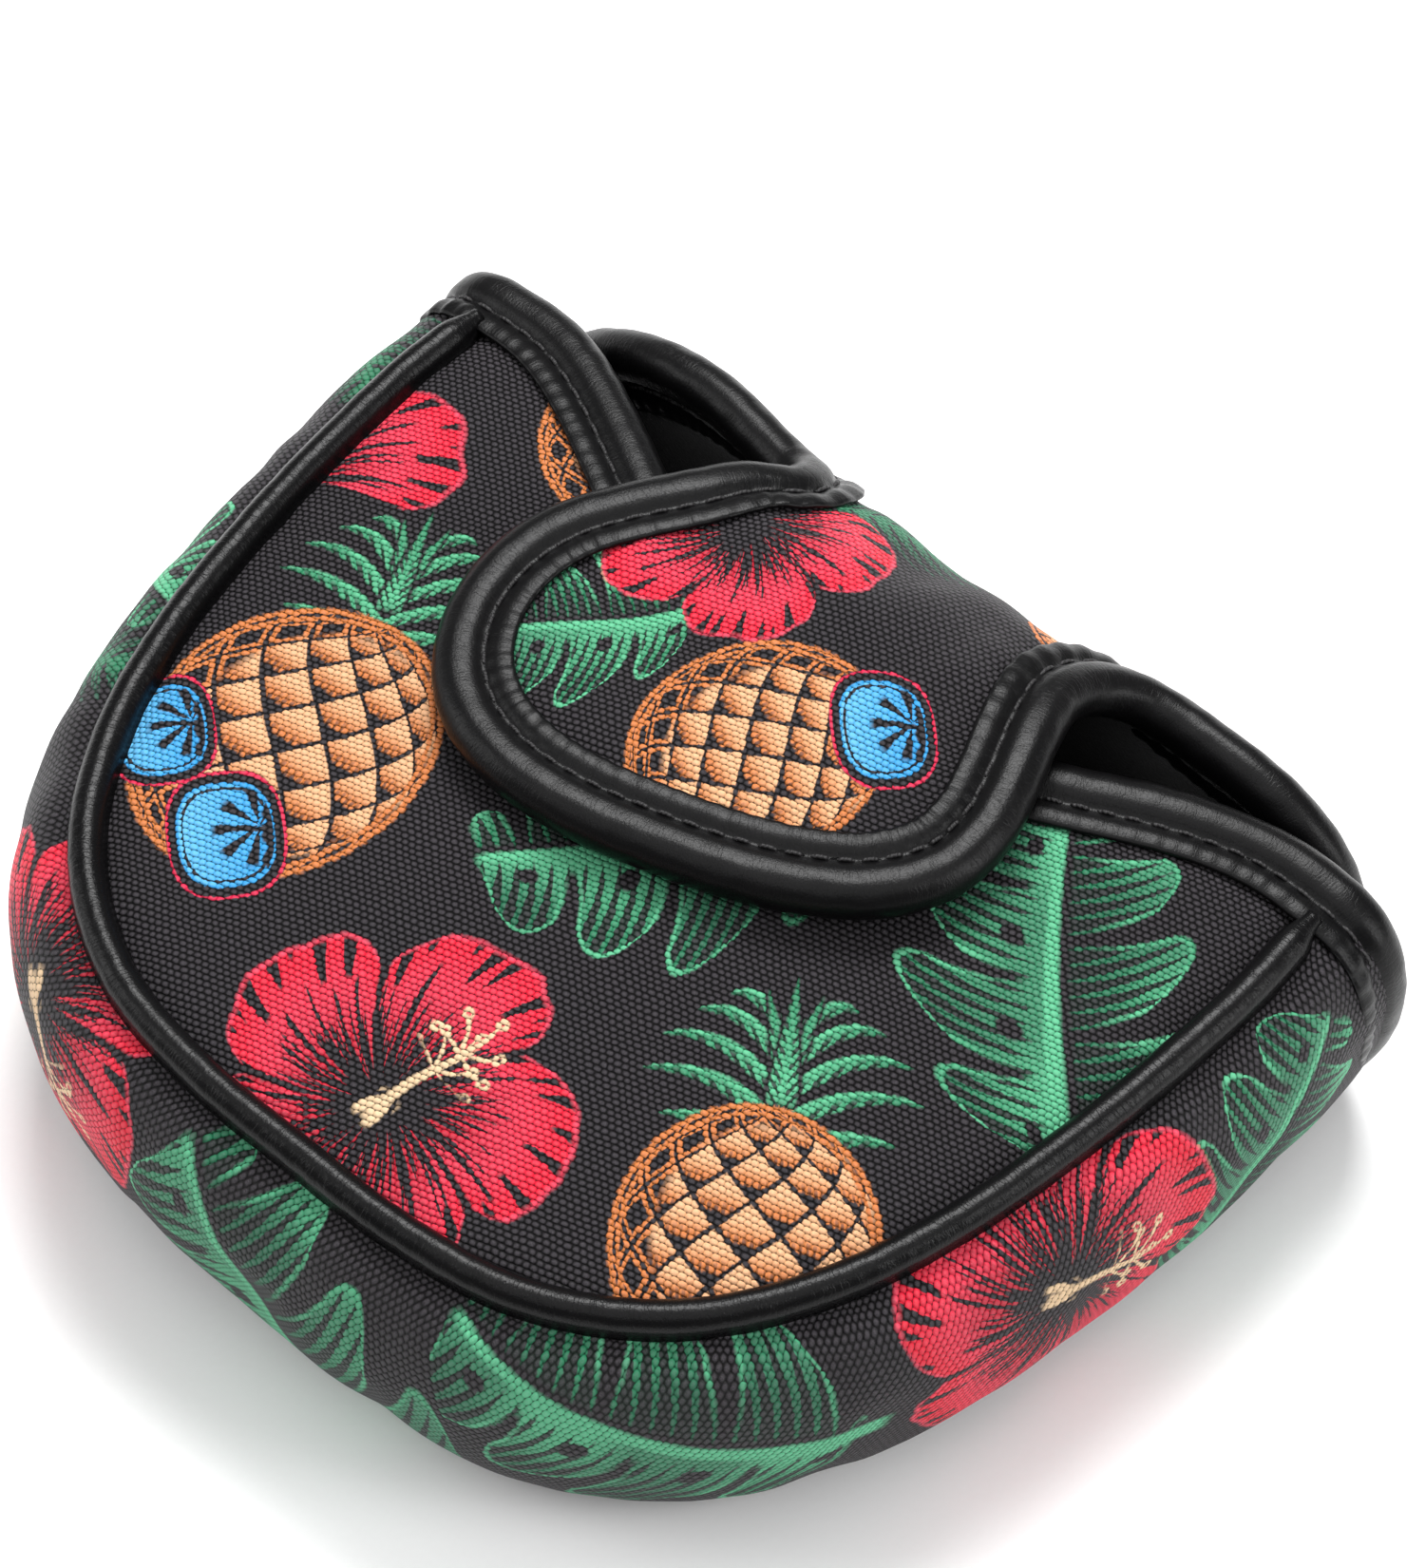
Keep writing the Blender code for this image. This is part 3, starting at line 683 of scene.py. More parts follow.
def leaf_crown(g, under, vector, placements):
    """Tuft of a pineapple: pairs of curved leaves up a short stem, and a spray of spikes on top."""
    x, y = g.local(vector, placements, LEAF_MIDDLE)
    side = abs(y)
    out = under
    # (where the pair leaves the stem, how far it reaches sideways, how steeply it starts)
    pairs = ((-0.04, 0.62, 0.55), (0.10, 0.74, 0.85), (0.26, 0.66, 1.15), (0.42, 0.50, 1.55),
             (0.56, 0.34, 2.1))
    for base, reach, rise in pairs:
        f = side / reach
        off = x - (f * (rise * reach) - f * f * (rise * reach * 0.62) + base)
        wide = (1.0 - f).most(0.0).power(0.75) * (0.092 - reach * 0.02) * f.ramp(-0.35, 0.3)
        past = abs(off) - wide
        hatch = ((side - off * 0.8) * 70.0).sin().ramp(-0.2, 0.4) * off.ramp(0.02, -0.02)
        colour = g.layer(GREEN_LIGHT, (f.ramp(0.0, 0.9), GREEN), (hatch * 0.92, INK),
                         ((off / wide.most(0.004)).ramp(0.35, 0.6), GREEN_LIGHT))
        out = g.layer(out, (past.ramp(0.035, 0.015) * f.ramp(1.02, 0.98), INK),
                      (past.ramp(0.008, -0.008) * f.ramp(1.0, 0.98), colour))
    for lean in (0.30, 0.0):
        tip = 1.0 - lean * 0.35
        spike = side - (x - 0.40).most(0.0) * lean
        past = abs(spike) - x.ramp(tip, 0.35) * 0.075
        short = x.ramp(tip, tip - 0.04)
        hatch = ((x - side * 1.6) * 80.0).sin().ramp(0.0, 0.5) * abs(spike).ramp(0.010, 0.022)
        colour = g.layer(GREEN_LIGHT, (x.ramp(0.3, 1.0), GREEN), (hatch * 0.9, INK))
        out = g.layer(out, (past.ramp(0.03, 0.012) * x.ramp(0.22, 0.32) * short, INK),
                      (past.ramp(0.008, -0.008) * x.ramp(0.20, 0.30) * short, colour))
    return out


def pineapple(g, under, vector, placements):
    """Round fruit, long axis along +x, diamond cells lit from one side."""
    x, y = g.local(vector, placements)
    u = x / 1.12
    r = g.length(u, y)
    lon = (y / (1.001 - u * u).most(0.03).root()).op("ARCSINE")
    lat = u.op("ARCSINE") * 2.35 + 0.25
    m = (lon * 2.05 + lat).fract()
    n = (lon * -2.05 + lat).fract()
    near = m.least(1.0 - m).least(n.least(1.0 - n))
    cell = near.ramp(0.040, 0.065)
    shade = m * 0.45 + n * 0.55 + (g.noise(vector, 0.9) - 0.5) * 0.16
    stripe = ((m - n) * 26.0).sin().ramp(-0.1, 0.5) * shade.ramp(0.46, 0.28)
    rim_zone = (r + y * 0.16 - x * 0.05).ramp(0.76, 0.84)
    ring = band(r, 0.985, 0.014, 0.008).most(band(r, 0.93, 0.010, 0.008))
    outlined = g.mix(near.ramp(0.20, 0.17) * cell, INK, ORANGE)
    colour = g.layer(ORANGE, (shade.ramp(0.34, 0.64), TAN), (shade.ramp(0.26, 0.22), INK),
                     (stripe * 0.8, INK), (rim_zone, outlined), (1.0 - cell, INK), (ring, ORANGE))
    return g.mix(r.ramp(1.02, 1.0), under, colour)


def lens(g, under, vector, placements):
    """Rounded blue lens with palm shapes, black frame and rose rim line; long axis along +x."""
    x, y = g.local(vector, placements)
    square = abs(x).power(LENS_SQUARENESS) + (abs(y - x * 0.08) * 1.28).power(LENS_SQUARENESS)
    d = square.power(1 / LENS_SQUARENESS)
    across, up = x - 0.1, y + 0.55
    fronds = (g.angle(up, across) * 9.0).sin().ramp(0.05, 0.45) * g.length(across, up).ramp(0.82, 0.72)
    trunk = abs(across - y * 0.12).ramp(0.055, 0.04) * y.ramp(0.0, -0.1)
    shore = (y + 0.62 + (x * 14.0).sin() * 0.04).ramp(0.02, -0.02)
    colour = g.layer(BLUE, (y.ramp(-0.6, 0.7), BLUE_PALE), (fronds.most(trunk).most(shore), INK),
                     (band(d, 0.90, 0.02, 0.01), INK), (d.ramp(0.965, 0.985), BLUE),
                     (d.ramp(1.01, 1.03), INK), (band(d, 1.22, 0.022, 0.012), ROSE))
    return g.mix(d.ramp(1.27, 1.245), under, colour)


def slice_round(g, under, vector, placements):
    """Small cut fruit: segments inside a rind."""
    x, y = g.local(vector, placements)
    r = g.length(x, y)
    spoke = abs((g.angle(y, x) * (9 / TAU)).fract() - 0.5).ramp(0.44, 0.40)
    flesh = spoke * r.ramp(0.80, 0.76) * r.ramp(0.10, 0.16)
    colour = g.layer(INK, (flesh, g.mix(r.ramp(0.2, 0.8), TAN, ORANGE)), (band(r, 0.92, 0.05, 0.02), ORANGE))
    return g.mix(r.ramp(1.0, 0.98), under, colour)


MOTIFS = (palm, monstera, leaf_crown, pineapple, hibiscus, bloom, slice_round, lens)     # the last on top

YARN = 0.86                   # spacing of the canvas yarns
YARN_SLANT = 1.28             # how much wider they lie one way than the other
WEAVE_TURN = 16.0             # the cloth is cut on the slant


def canvas(name, prints, turn=WEAVE_TURN):
    """Printed chunky canvas: prints is {motif: ((x, y, degrees, size), ...)} in the panel's millimetres."""
    g = Graph(name)
    uv = g.uv()
    angle = math.radians(turn)
    grid = {"Vector": uv, "Rotation": (0.0, 0.0, angle), "Scale": (YARN * YARN_SLANT, YARN, 1.0)}
    gx, gy, _ = g.split(g.add("Mapping", grid, vector_type="TEXTURE").outputs[0])
    gx = gx + (g.noise(uv, 0.35) - 0.5) * 0.8
    gy = gy + (g.noise(uv, 0.22, 1.0) - 0.5) * 0.7
    cx = (gx + gy.floor() * 0.5).fract() - 0.5
    cy = gy.fract() - 0.5
    yarn_r = abs(cx * 2.0).power(2.4) * 0.72 + abs(cy * 2.0).power(2.4) * 0.72
    height = yarn_r.ramp(1.15, 0.0)
    # ink follows the yarns: the drawing is partly snapped to each yarn's middle, and a little fuzzy
    snap = {"Vector": g.join(cx * -0.24, cy * -0.24), "Angle": angle}
    back = g.add("VectorRotate", snap, rotation_type="Z_AXIS")
    moved = g.add("VectorMath", {0: uv, 1: back.outputs[0]}, operation="ADD")
    fuzz = g.noise(uv, 1.7, 1.0)
    blur = {0: g.join(fuzz - 0.5, 0.5 - fuzz), 1: (0.34, 0.34, 0.0), 2: moved.outputs[0]}
    drawing = g.add("VectorMath", blur, operation="MULTIPLY_ADD").outputs[0]
    colour = g.mix(g.noise(uv, 0.05), BLACK, BLACK_WORN)
    for motif in MOTIFS:
        if motif.__name__ in prints:
            colour = motif(g, colour, drawing, prints[motif.__name__])
    fibre = g.noise(g.join(gx * 3.0, gy * 9.0), 2.6, 2.0, 0.7)
    # painted glint specks, only where the yarns stand highest
    glint_fleck = g.noise(uv, 6.5, 1.0).ramp(0.70, 0.76) * height.ramp(0.6, 0.9)
    # painted light on the weave: painted highlight on the yarn tops, painted shade in the gaps between yarns,
    # painted glint specks on the tops
    colour = g.layer(colour, (height.ramp(0.50, 0.95) * (fibre.ramp(0.38, 0.66) * 0.24), YARN_TOP_HIGHLIGHT),
                     (yarn_r.ramp(0.60, 1.05) * 0.92, YARN_GAP_SHADE), (glint_fleck * 0.22, GLINT_SPECK))
    return g.finish({"Base Color": colour, "Roughness": fibre * 0.2 + 0.42, "Specular IOR Level": 0.20,
                     "Normal": g.bump(height + fibre * 0.22, 0.00050)})


def leather(name, wrinkle, shine, base):
    """Black coated leather with a fine grain and creases across its run."""
    g = Graph(name)
    uv = g.uv()
    u, v, _ = g.split(uv)
    cells = g.add("TexVoronoi", {"Vector": uv, "Scale": 2.7}, voronoi_dimensions="2D")
    grain = Num(g, cells.outputs["Distance"])
    creases = abs(g.noise(g.join(u, v * 0.22), 0.9, 3.0, 0.6) - 0.5).ramp(0.0, 0.055)
    wear = g.noise(uv, 0.06, 3.0, 0.6)
    tint = g.layer(base, (wear.ramp(0.35, 0.75), srgb("0d0c0d")),
                   (grain.ramp(0.30, 0.55) * 0.45, srgb("040404")))
    height = grain * -0.30 + g.noise(uv, 4.0, 3.0, 0.6) * 0.25 + creases * wrinkle
    return g.finish({"Base Color": tint, "Roughness": wear * 0.06 + grain * 0.12 + shine,
                     "Specular IOR Level": 0.16, "Normal": g.bump(height, 0.00006, 0.7)})


def lining_cloth():
    """Short brushed black pile."""
    g = Graph("lining_pile")
    nap = g.noise(g.uv(), 1.6, 4.0, 0.7)
    lay = g.noise(g.uv(), 0.09)
    return g.finish({"Base Color": g.mix(nap * 0.6 + lay * 0.4, srgb("08080a"), srgb("19191c")),
                     "Roughness": nap * 0.1 + 0.85, "Sheen Weight": 0.12, "Sheen Roughness": 0.6,
                     "Normal": g.bump(nap, 0.0004, 0.7)})


def thread():
    """Twisted black sewing thread, with painted shade: darker in the grooves of its twist and lighter on its
    ridges.
    """
    g = Graph("sewing_thread")
    u, v, _ = g.split(g.uv())
    ply = (u * 9.0 + v * 3.0).sin()
    # painted shade and highlight: the colour follows the twist's relief, in the same pattern as the bump
    return g.finish({"Base Color": g.mix(ply.ramp(-1.0, 1.0), srgb("0a090a"), srgb("201e20")),
                     "Roughness": g.noise(g.uv(), 4.0) * 0.2 + 0.5, "Normal": g.bump(ply, 0.00006, 0.8)})


def brushed_metal():
    """Nickel-plated magnet with fine turning marks."""
    g = Graph("magnet_nickel")
    fine = g.noise(g.object_at(), 1800.0)
    broad = g.noise(g.object_at(), 160.0)
    return g.finish({"Base Color": g.mix(broad, srgb("a9a9ac"), srgb("cfcfd2")), "Metallic": 1.0,
                     "Roughness": fine * 0.2 + 0.2, "Normal": g.bump(fine, 0.00002, 0.5)})


def studio_floor():
    """Matt pale sweep."""
    g = Graph("studio_paper")
    grain = g.noise(g.object_at(), 900.0)
    return g.finish({"Base Color": g.mix(grain, srgb("fbfbfb"), srgb("ffffff")), "Roughness": 0.9})


# ---- the face cloth, unrolled
FACE_STEP = 0.5               # along w; along x it is 1
FACE_X = np.arange(-78.0, 78.01, 1.0)
FACE_W = np.arange(-40.0, 92.01, FACE_STEP)
WALL_ROWS = 80                # sampled up to w = 0
FOLD_SOFTNESS = 2.6           # how round the fold between wall and flap is


def smooth_rows(a, sigma, step):
    """Even out an array along its second axis."""
    half = int(np.ceil(3 * sigma / step))
    t = np.arange(-half, half + 1) * step
    weights = np.exp(-(t / sigma) ** 2 / 2)
    weights /= weights.sum()
    ends_low = 2 * a[:, :1] - a[:, half:0:-1]
    ends_high = 2 * a[:, -1:] - a[:, -2:-half - 2:-1]
    wide = np.concatenate([ends_low, a, ends_high], 1)
    return np.stack([np.convolve(row, weights, "valid") for row in wide])


def build_face_table():
    """Middle points and outward normals of the face cloth over the (x, w) grid."""
    x = FACE_X[:, None]
    rise = np.concatenate([np.linspace(-4.0, FOLD_START_Z, WALL_ROWS), np.linspace(42.9, 44.6, 5)])
    zw = rise[None, :] + 0 * x
    yw = wall_mid_y(x, zw)
    hinge = wall_mid_y(x, FLAP_FOLD_Z + 0 * x)
    back = np.concatenate([np.linspace(-0.35, -6.0, 24), np.linspace(-6.5, -88.0, 120)])[None, :]
    yf = hinge + back
    zf = flap_mid_z(x + 0 * yf, yf)
    y = np.concatenate([yw, yf], 1)
    z = np.concatenate([zw, zf], 1)
    run = np.concatenate([0 * x, np.cumsum(np.hypot(np.diff(y, axis=1), np.diff(z, axis=1)), 1)], 1)
    run = run - run[:, WALL_ROWS - 1:WALL_ROWS]
    even = [np.stack([np.interp(FACE_W, at, a) for at, a in zip(run, rows)]) for rows in (y, z)]
    ys, zs = [smooth_rows(rows, FOLD_SOFTNESS, FACE_STEP) for rows in even]
    p = np.stack([x + 0 * ys, ys, zs], -1)
    du = np.gradient(p, axis=0)
    dv = np.gradient(p, axis=1)
    return p, unit(np.cross(dv, du))


FACE_P, FACE_N = build_face_table()


def table_at(table, x, w):
    fx = np.clip(x - FACE_X[0], 0, len(FACE_X) - 1.001)
    fw = np.clip((w - FACE_W[0]) / FACE_STEP, 0, len(FACE_W) - 1.001)
    i, j = fx.astype(int), fw.astype(int)
    a, b = (fx - i)[:, None], (fw - j)[:, None]
    near = table[i, j] * (1 - b) + table[i, j + 1] * b
    far = table[i + 1, j] * (1 - b) + table[i + 1, j + 1] * b
    return near * (1 - a) + far * a


def face_surface(xw):
    x, w = np.asarray(xw, float).T
    return table_at(FACE_P, x, w), unit(table_at(FACE_N, x, w))


def w_of_flap(x, y):
    column = FACE_P[int(round(x - FACE_X[0]))]
    flap = FACE_W > 6
    return float(np.interp(-y, -column[flap, 1], FACE_W[flap]))


FLAP_W0 = w_of_flap(0.0, -40.0) - 40.0      # print coordinates match (x, y) on the lying flap


def face_edge(bottom_z):
    """Edge of the face cloth in (x, w): up the heel side, round the flap, down the toe side."""
    sides = []
    for table in (WALL_HEEL, WALL_TOE):
        side = catmull(table, np.linspace(0, len(table) - 1, 90))
        side = side[side[:, 1] > bottom_z]
        sides.append(np.stack([side[:, 0], side[:, 1] - FOLD_START_Z], 1))
    up, toe = sides
    flap = [(x, w_of_flap(x, y)) for x, y in FLAP_OUTLINE]
    middle = np.array([tuple(up[-1]), *HEEL_NOTCH, *flap, *TOE_NOTCH, (-toe[-1][0], toe[-1][1])])
    curve = catmull(middle, np.linspace(0, len(middle) - 1, 420))
    down = toe[::-1] * np.array([-1.0, 1.0])
    return np.concatenate([up[:-1], curve, down[1:]])


def smooth_path(p, sigma, step):
    return smooth_rows(np.asarray(p, float).T, sigma, step).T


# ---- bindings
ROLL_R = 3.55
VALLEY_U = -3.02              # where the stitches lie in the section
VALLEY_V = 2.36
STITCH_LENGTH = 2.7
STITCH_PITCH = 3.7
STITCH_MARGIN = 2.0           # left bare at each end
STITCH_R = 0.30
STITCH_RINGS = 7
STITCH_SIDES = 8


def binding_section():
    """C-shaped leather: thin lip, flange, stitched valley, plump roll, and the same underneath."""
    top = [(-7.05, 2.30), (-7.15, 2.62), (-6.95, 2.92), (-6.55, 3.02), (-5.8, 3.12), (-5.0, 3.10),
           (-4.3, 2.92), (-3.75, 2.62), (-3.35, 2.38), (-2.95, 2.32), (-2.55, 2.46), (-2.1, 2.82),
           (-1.5, 3.20), (-0.7, 3.46)]
    turn = np.radians(np.linspace(84, -84, 19))
    roll = [(0.55 + ROLL_R * math.cos(a) * 1.03, ROLL_R * math.sin(a)) for a in turn]
    under = [(u, -v) for u, v in top[::-1]]
    inside_wall = [(0.2, -2.2), (0.35, 0.0), (0.2, 2.2)]
    return np.array(top + roll + under + inside_wall)


def bend_rate(p):
    t = unit(np.gradient(p, axis=0))
    step = np.linalg.norm(np.gradient(p, axis=0), axis=1)
    return np.linalg.norm(np.gradient(t, axis=0), axis=1) / np.maximum(step, 1e-6)


def square_frame(outward, normal):
    """The way out and the normal, made square to each other."""
    out = unit(outward)
    return out, unit(np.cross(unit(np.cross(out, normal)), out))


def sweep_binding(name, path, outward, normal, material, seed):
    run = length_along(path)
    section = binding_section()
    bends = np.clip(bend_rate(path), 0, 0.25)[:, None]
    along = run[:, None] + np.zeros(len(section))
    across = np.arange(len(section))[None, :] + 0 * along
    lumps = wave(along, across * 0.45, seed, 16.0) * 0.10 + wave(along, across * 0.8, seed + 1, 4.2) * 0.035
    u, v = [column + 0 * along for column in section.T]
    flange = smooth01((-1.6 - u) / 2.0) * (u < -1.6)
    pucker = np.sin(along * 2 * np.pi / 2.9 + wave(along, 0 * along, seed + 2, 9.0) * 1.6)
    v += np.sign(v) * (lumps + flange * pucker * (0.05 + 1.1 * bends))
    u += np.where(u > 0.8, lumps, 0.0)
    u -= flange * pucker * (0.02 + 0.5 * bends)
    out, nrm = square_frame(outward, normal)
    return sweep(name, path, out, nrm, np.stack([u, v], -1), material)


def stitches(name, path, outward, normal, material):
    """Running stitches sunk in the valley on both faces of a binding."""
    run = length_along(path)
    out, nrm = square_frame(outward, normal)
    verts, faces, uvs = [], [], []
    at = STITCH_MARGIN
    while at + STITCH_LENGTH < run[-1] - STITCH_MARGIN:
        for face in (1.0, -1.0):
            tube = tube_faces(STITCH_RINGS, STITCH_SIDES, len(verts))
            faces += [q[::-1] if face > 0 else q for q in tube]
            for f in np.linspace(0, 1, STITCH_RINGS):
                s = at + f * STITCH_LENGTH
                o = unit(at_run(s, run, out))
                n = unit(at_run(s, run, nrm))
                arch = math.sin(math.pi * f)
                r = STITCH_R * (0.45 + 0.55 * min(1.0, arch * 2.2))
                c = at_run(s, run, path) + o * VALLEY_U + n * face * (VALLEY_V + 0.28 * arch - 0.12)
                for a in TAU * np.arange(STITCH_SIDES) / STITCH_SIDES:
                    verts.append(c + o * r * math.cos(a) + n * face * r * math.sin(a))
                    uvs.append((s, r * a))
        at += STITCH_PITCH
    return make_mesh(name, np.array(verts), faces, np.array(uvs), [material])


def gusset_frame(t):
    """Points and outward normals of the gusset's middle line for t in [0, 1]; straight beyond."""
    last = len(GUSSET) - 1
    e = 0.01
    inner = np.clip(t, 0.0, 1.0)
    p = catmull(GUSSET, inner * last)
    d = catmull(GUSSET, np.minimum(inner + e, 1) * last) - catmull(GUSSET, np.maximum(inner - e, 0) * last)
    d = unit(d)
    p = p + d * ((t - inner) * 48.0)[:, None]
    return p, np.stack([-d[:, 1], d[:, 0]], -1)


def mouth_path():
    """Edge of the mouth: up the heel end of the gusset, along the crown, down the toe end."""
    pts, nrm = seam_stations(MOUTH_CORNER_Y)
    end, side = pts[-1], nrm[-1]
    ahead = unit(pts[-1] - pts[-2])
    p, n = gusset_frame(np.linspace(0.985, 0.0, 70))
    gus = np.stack([end[0] + side[0] * p[:, 0], end[1] + side[1] * p[:, 0], p[:, 1]], 1)
    gus_n = np.stack([n[:, 0], 0 * n[:, 0], n[:, 1]], 1)
    gus_o = np.repeat([[ahead[0], ahead[1], 0.0]], len(gus), 0)
    x = np.linspace(70.5, 0.0, 110)
    y = mouth_edge(x)
    slope = mouth_edge(x + 0.5) - mouth_edge(x - 0.5)
    crown = np.stack([x, y, crown_mid(x, y)], 1)
    crown_n = height_normal(crown_mid, x, y)
    crown_o = np.stack([-slope, 1 + 0 * slope, 0 * slope], 1)
    flip = np.array([-1.0, 1.0, 1.0])
    halves = [np.concatenate(pair) for pair in ((gus, crown), (gus_o, unit(crown_o)), (gus_n, crown_n))]
    path, outward, normal = [np.concatenate([half, (half * flip)[:-1][::-1]]) for half in halves]
    run = length_along(path)

    def even(line, sigma):
        return smooth_path(at_run(np.arange(0, run[-1], PATH_STEP), run, line), sigma, PATH_STEP)

    return even(path, 1.8), unit(even(outward, 2.2)), unit(even(normal, 2.6))


def face_path():
    p, n = face_surface(smooth_path(resample(face_edge(4.2), PATH_STEP), 0.9, PATH_STEP))
    outward = unit(np.cross(unit(np.gradient(p, axis=0)), n))
    if outward[len(p) // 2, 1] > 0:       # at the flap's tip the way out is backward
        outward = -outward
    return p, outward, n


# ---- pieces
def lining_side(amount, seed, scale):
    """Unevenness of a panel's inner skin."""
    return lambda p: -HALF + amount * wave(*p.T, seed, scale)


def crown_panel(mats):
    seam, nrm = seam_stations(MOUTH_CORNER_Y - 2.0)
    side = seam - nrm * 0.7
    half = abs(side[-1][0])
    xs = np.linspace(half - 1.0, -half + 1.0, 150)
    outline = np.concatenate([side, np.stack([xs, mouth_edge(xs)], 1)])

    def surface(p):
        x, y = p.T
        return np.stack([x, y, crown_mid(x, y)], 1), height_normal(crown_mid, x, y)

    def held(p):
        return (edge_distance(outline, p) < SEWN_W) | (mouth_edge(p[:, 0]) - p[:, 1] < HELD_W)

    cloth = settle_cloth("crown_cloth", outline, surface, held)

    def high(p):
        x, y = p.T
        d = edge_distance(seam, p)
        d_mouth = np.maximum(0.0, mouth_edge(x) - y - BOUND_W)
        tuck = 1.5 * hump(d, 3.4) + 0.5 * hump(d_mouth, 2.5)
        gathers = wave(x, y, 11, 8.5) * 0.22 * np.exp(-d / 5.0)
        slack = wave(x, y, 12, 46.0) * 0.30 + wave(x, y, 13, 19.0) * 0.10
        return HALF - tuck + gathers + slack * smooth01(d / 12.0) + lift_at(cloth, p)

    return panel("crown_panel", outline, 1.5, surface, high, lining_side(0.15, 14, 22.0), mats)


def grid_faces(rows, cols):
    """Faces of two matching grids, one after the other, and of the border that joins them."""
    base = rows * cols
    faces, index = [], []
    for i in range(rows - 1):
        for k in range(cols - 1):
            a = i * cols + k
            quad = (a, a + cols, a + cols + 1, a + 1)
            faces += [quad, tuple(base + v for v in quad[:1] + quad[:0:-1])]
            index += [0, 1]
    border = [(0, k) for k in range(cols - 1)] + [(i, cols - 1) for i in range(rows - 1)]
    border += [(rows - 1, k) for k in range(cols - 1, 0, -1)] + [(i, 0) for i in range(rows - 1, 0, -1)]
    ids = [i * cols + k for i, k in border]
    faces += [(a, b, base + b, base + a) for a, b in zip(ids, ids[1:] + ids[:1])]
    return faces, index + [1] * len(ids)


def gusset_panel(mats):
    pts, nrm = seam_stations(MOUTH_CORNER_Y)
    p, n = gusset_frame(np.linspace(-0.03, 1.03, 46))
    depth = length_along(p)
    run = length_along(pts + nrm * 6.0)
    run -= run[len(run) // 2]
    rr, dd = np.meshgrid(run, depth, indexing="ij")
    total = depth[-1]
    pinch = 0.9 * hump(dd - 1.0, 3.6) + 0.9 * hump(total - dd, 4.0)
    gathers = wave(rr, dd * 0.35, 21, 9.0) * 0.24 * (np.exp(-dd / 6.0) + np.exp(-(total - dd) / 6.0))
    slack = (wave(rr, dd * 0.6, 22, 44.0) * 0.35 + wave(rr, dd, 23, 17.0) * 0.10) * np.sin(np.pi * dd / total)
    border = np.array([(run[0], 0.0), (run[-1], 0.0), (run[-1], total), (run[0], total)])

    def surface(q):
        x, y, nx, ny = [np.interp(q[:, 0], run, a) for a in (*pts.T, *nrm.T)]
        b, z, nb, nz = [np.interp(q[:, 1], depth, a) for a in (*p.T, *n.T)]
        return np.stack([x + nx * b, y + ny * b, z], 1), np.stack([nx * nb, ny * nb, nz], 1)

    cloth = settle_cloth("gusset_cloth", border, surface, lambda q: edge_distance(border, q) < SEWN_W)
    lift = lift_at(cloth, np.stack([rr.ravel(), dd.ravel()], 1)).reshape(rr.shape)
    high = HALF - pinch + gathers + slack + lift
    low = -HALF + 0.1 * wave(rr, dd, 24, 20.0)

    def skin(off):
        b, z = [p[:, k] + n[:, k] * off for k in (0, 1)]
        x, y = [pts[:, k, None] + nrm[:, k, None] * b for k in (0, 1)]
        return np.stack([x, y, np.maximum(z, 0.2)], -1).reshape(-1, 3)

    verts = np.concatenate([skin(high), skin(low)])
    uv = np.stack([rr, -dd + 1.4], -1).reshape(-1, 2)
    faces, index = grid_faces(*rr.shape)
    a, b, c, _ = faces[0]
    normal = np.cross(verts[b] - verts[a], verts[c] - verts[a])
    if normal @ np.array([nrm[0][0], nrm[0][1], 0.3]) < 0:
        faces = [f[::-1] for f in faces]
    return make_mesh("gusset_panel", verts, faces, np.concatenate([uv, uv]), mats, index)


def sole_panel(mats):
    pts, nrm = seam_stations(0.5)
    side = pts + nrm * 1.6
    corner = [(70.9, 4.0), (68.2, 7.4), (65.8, 11.0), (64.1, SOLE_END_V)]
    front = [(x, SOLE_END_V) for x in np.linspace(63.0, -63.0, 90)]
    outline = np.concatenate([side, corner, front, [(-x, v) for x, v in corner[::-1]]])

    def surface(p):
        x, v = p.T
        f = np.clip((v - SOLE_FLAT_Y) / SOLE_BEND_R, 0.0, math.pi / 2)
        y = np.minimum(v, SOLE_FLAT_Y) + SOLE_BEND_R * np.sin(f)
        z = HALF + SOLE_BEND_R * (1 - np.cos(f))
        return np.stack([x, y, z], 1), np.stack([0 * f, np.sin(f), -np.cos(f)], 1)

    def high(p):
        uneven = np.clip(1 + wave(*p.T, 31, 30.0), 0.0, 2.0)
        return HALF - 0.5 * hump(edge_distance(outline, p), 2.5) - 0.12 * uneven

    def prints(p):
        return np.stack([p[:, 0], FLAP_W0 + FOLD_START_Z - LOWER_JOIN_Z + SOLE_END_V - p[:, 1]], 1)

    return panel("sole_panel", outline, 2.0, surface, high, lining_side(0.12, 32, 22.0), mats, prints)


def wall_flap_panel(mats):
    edge = face_edge(LOWER_JOIN_Z)
    base = LOWER_JOIN_Z - FOLD_START_Z
    bottom = [(x, base) for x in np.linspace(-63.0, 63.0, 80)]
    outline = np.concatenate([edge, [(-64.1, base)], bottom, [(64.1, base)]])

    cloth = settle_cloth("face_cloth", outline, face_surface, lambda q: edge_distance(outline, q) < HELD_W)

    def high(p):
        x, w = p.T
        inner = np.maximum(0.0, edge_distance(edge, p) - BOUND_W)
        tuck = 0.55 * hump(inner, 2.6)
        gathers = wave(x, w, 41, 8.0) * 0.20 * np.exp(-inner / 4.0)
        slack = (wave(x, w, 42, 38.0) * 0.22 + wave(x, w, 43, 15.0) * 0.08) * smooth01(inner / 8.0)
        return HALF - tuck + gathers + slack + lift_at(cloth, p)

    def prints(p):
        return np.stack([p[:, 0], FLAP_W0 - p[:, 1]], 1)

    low = lining_side(0.12, 44, 22.0)
    return panel("wall_flap_panel", outline, 1.5, face_surface, high, low, mats, prints)


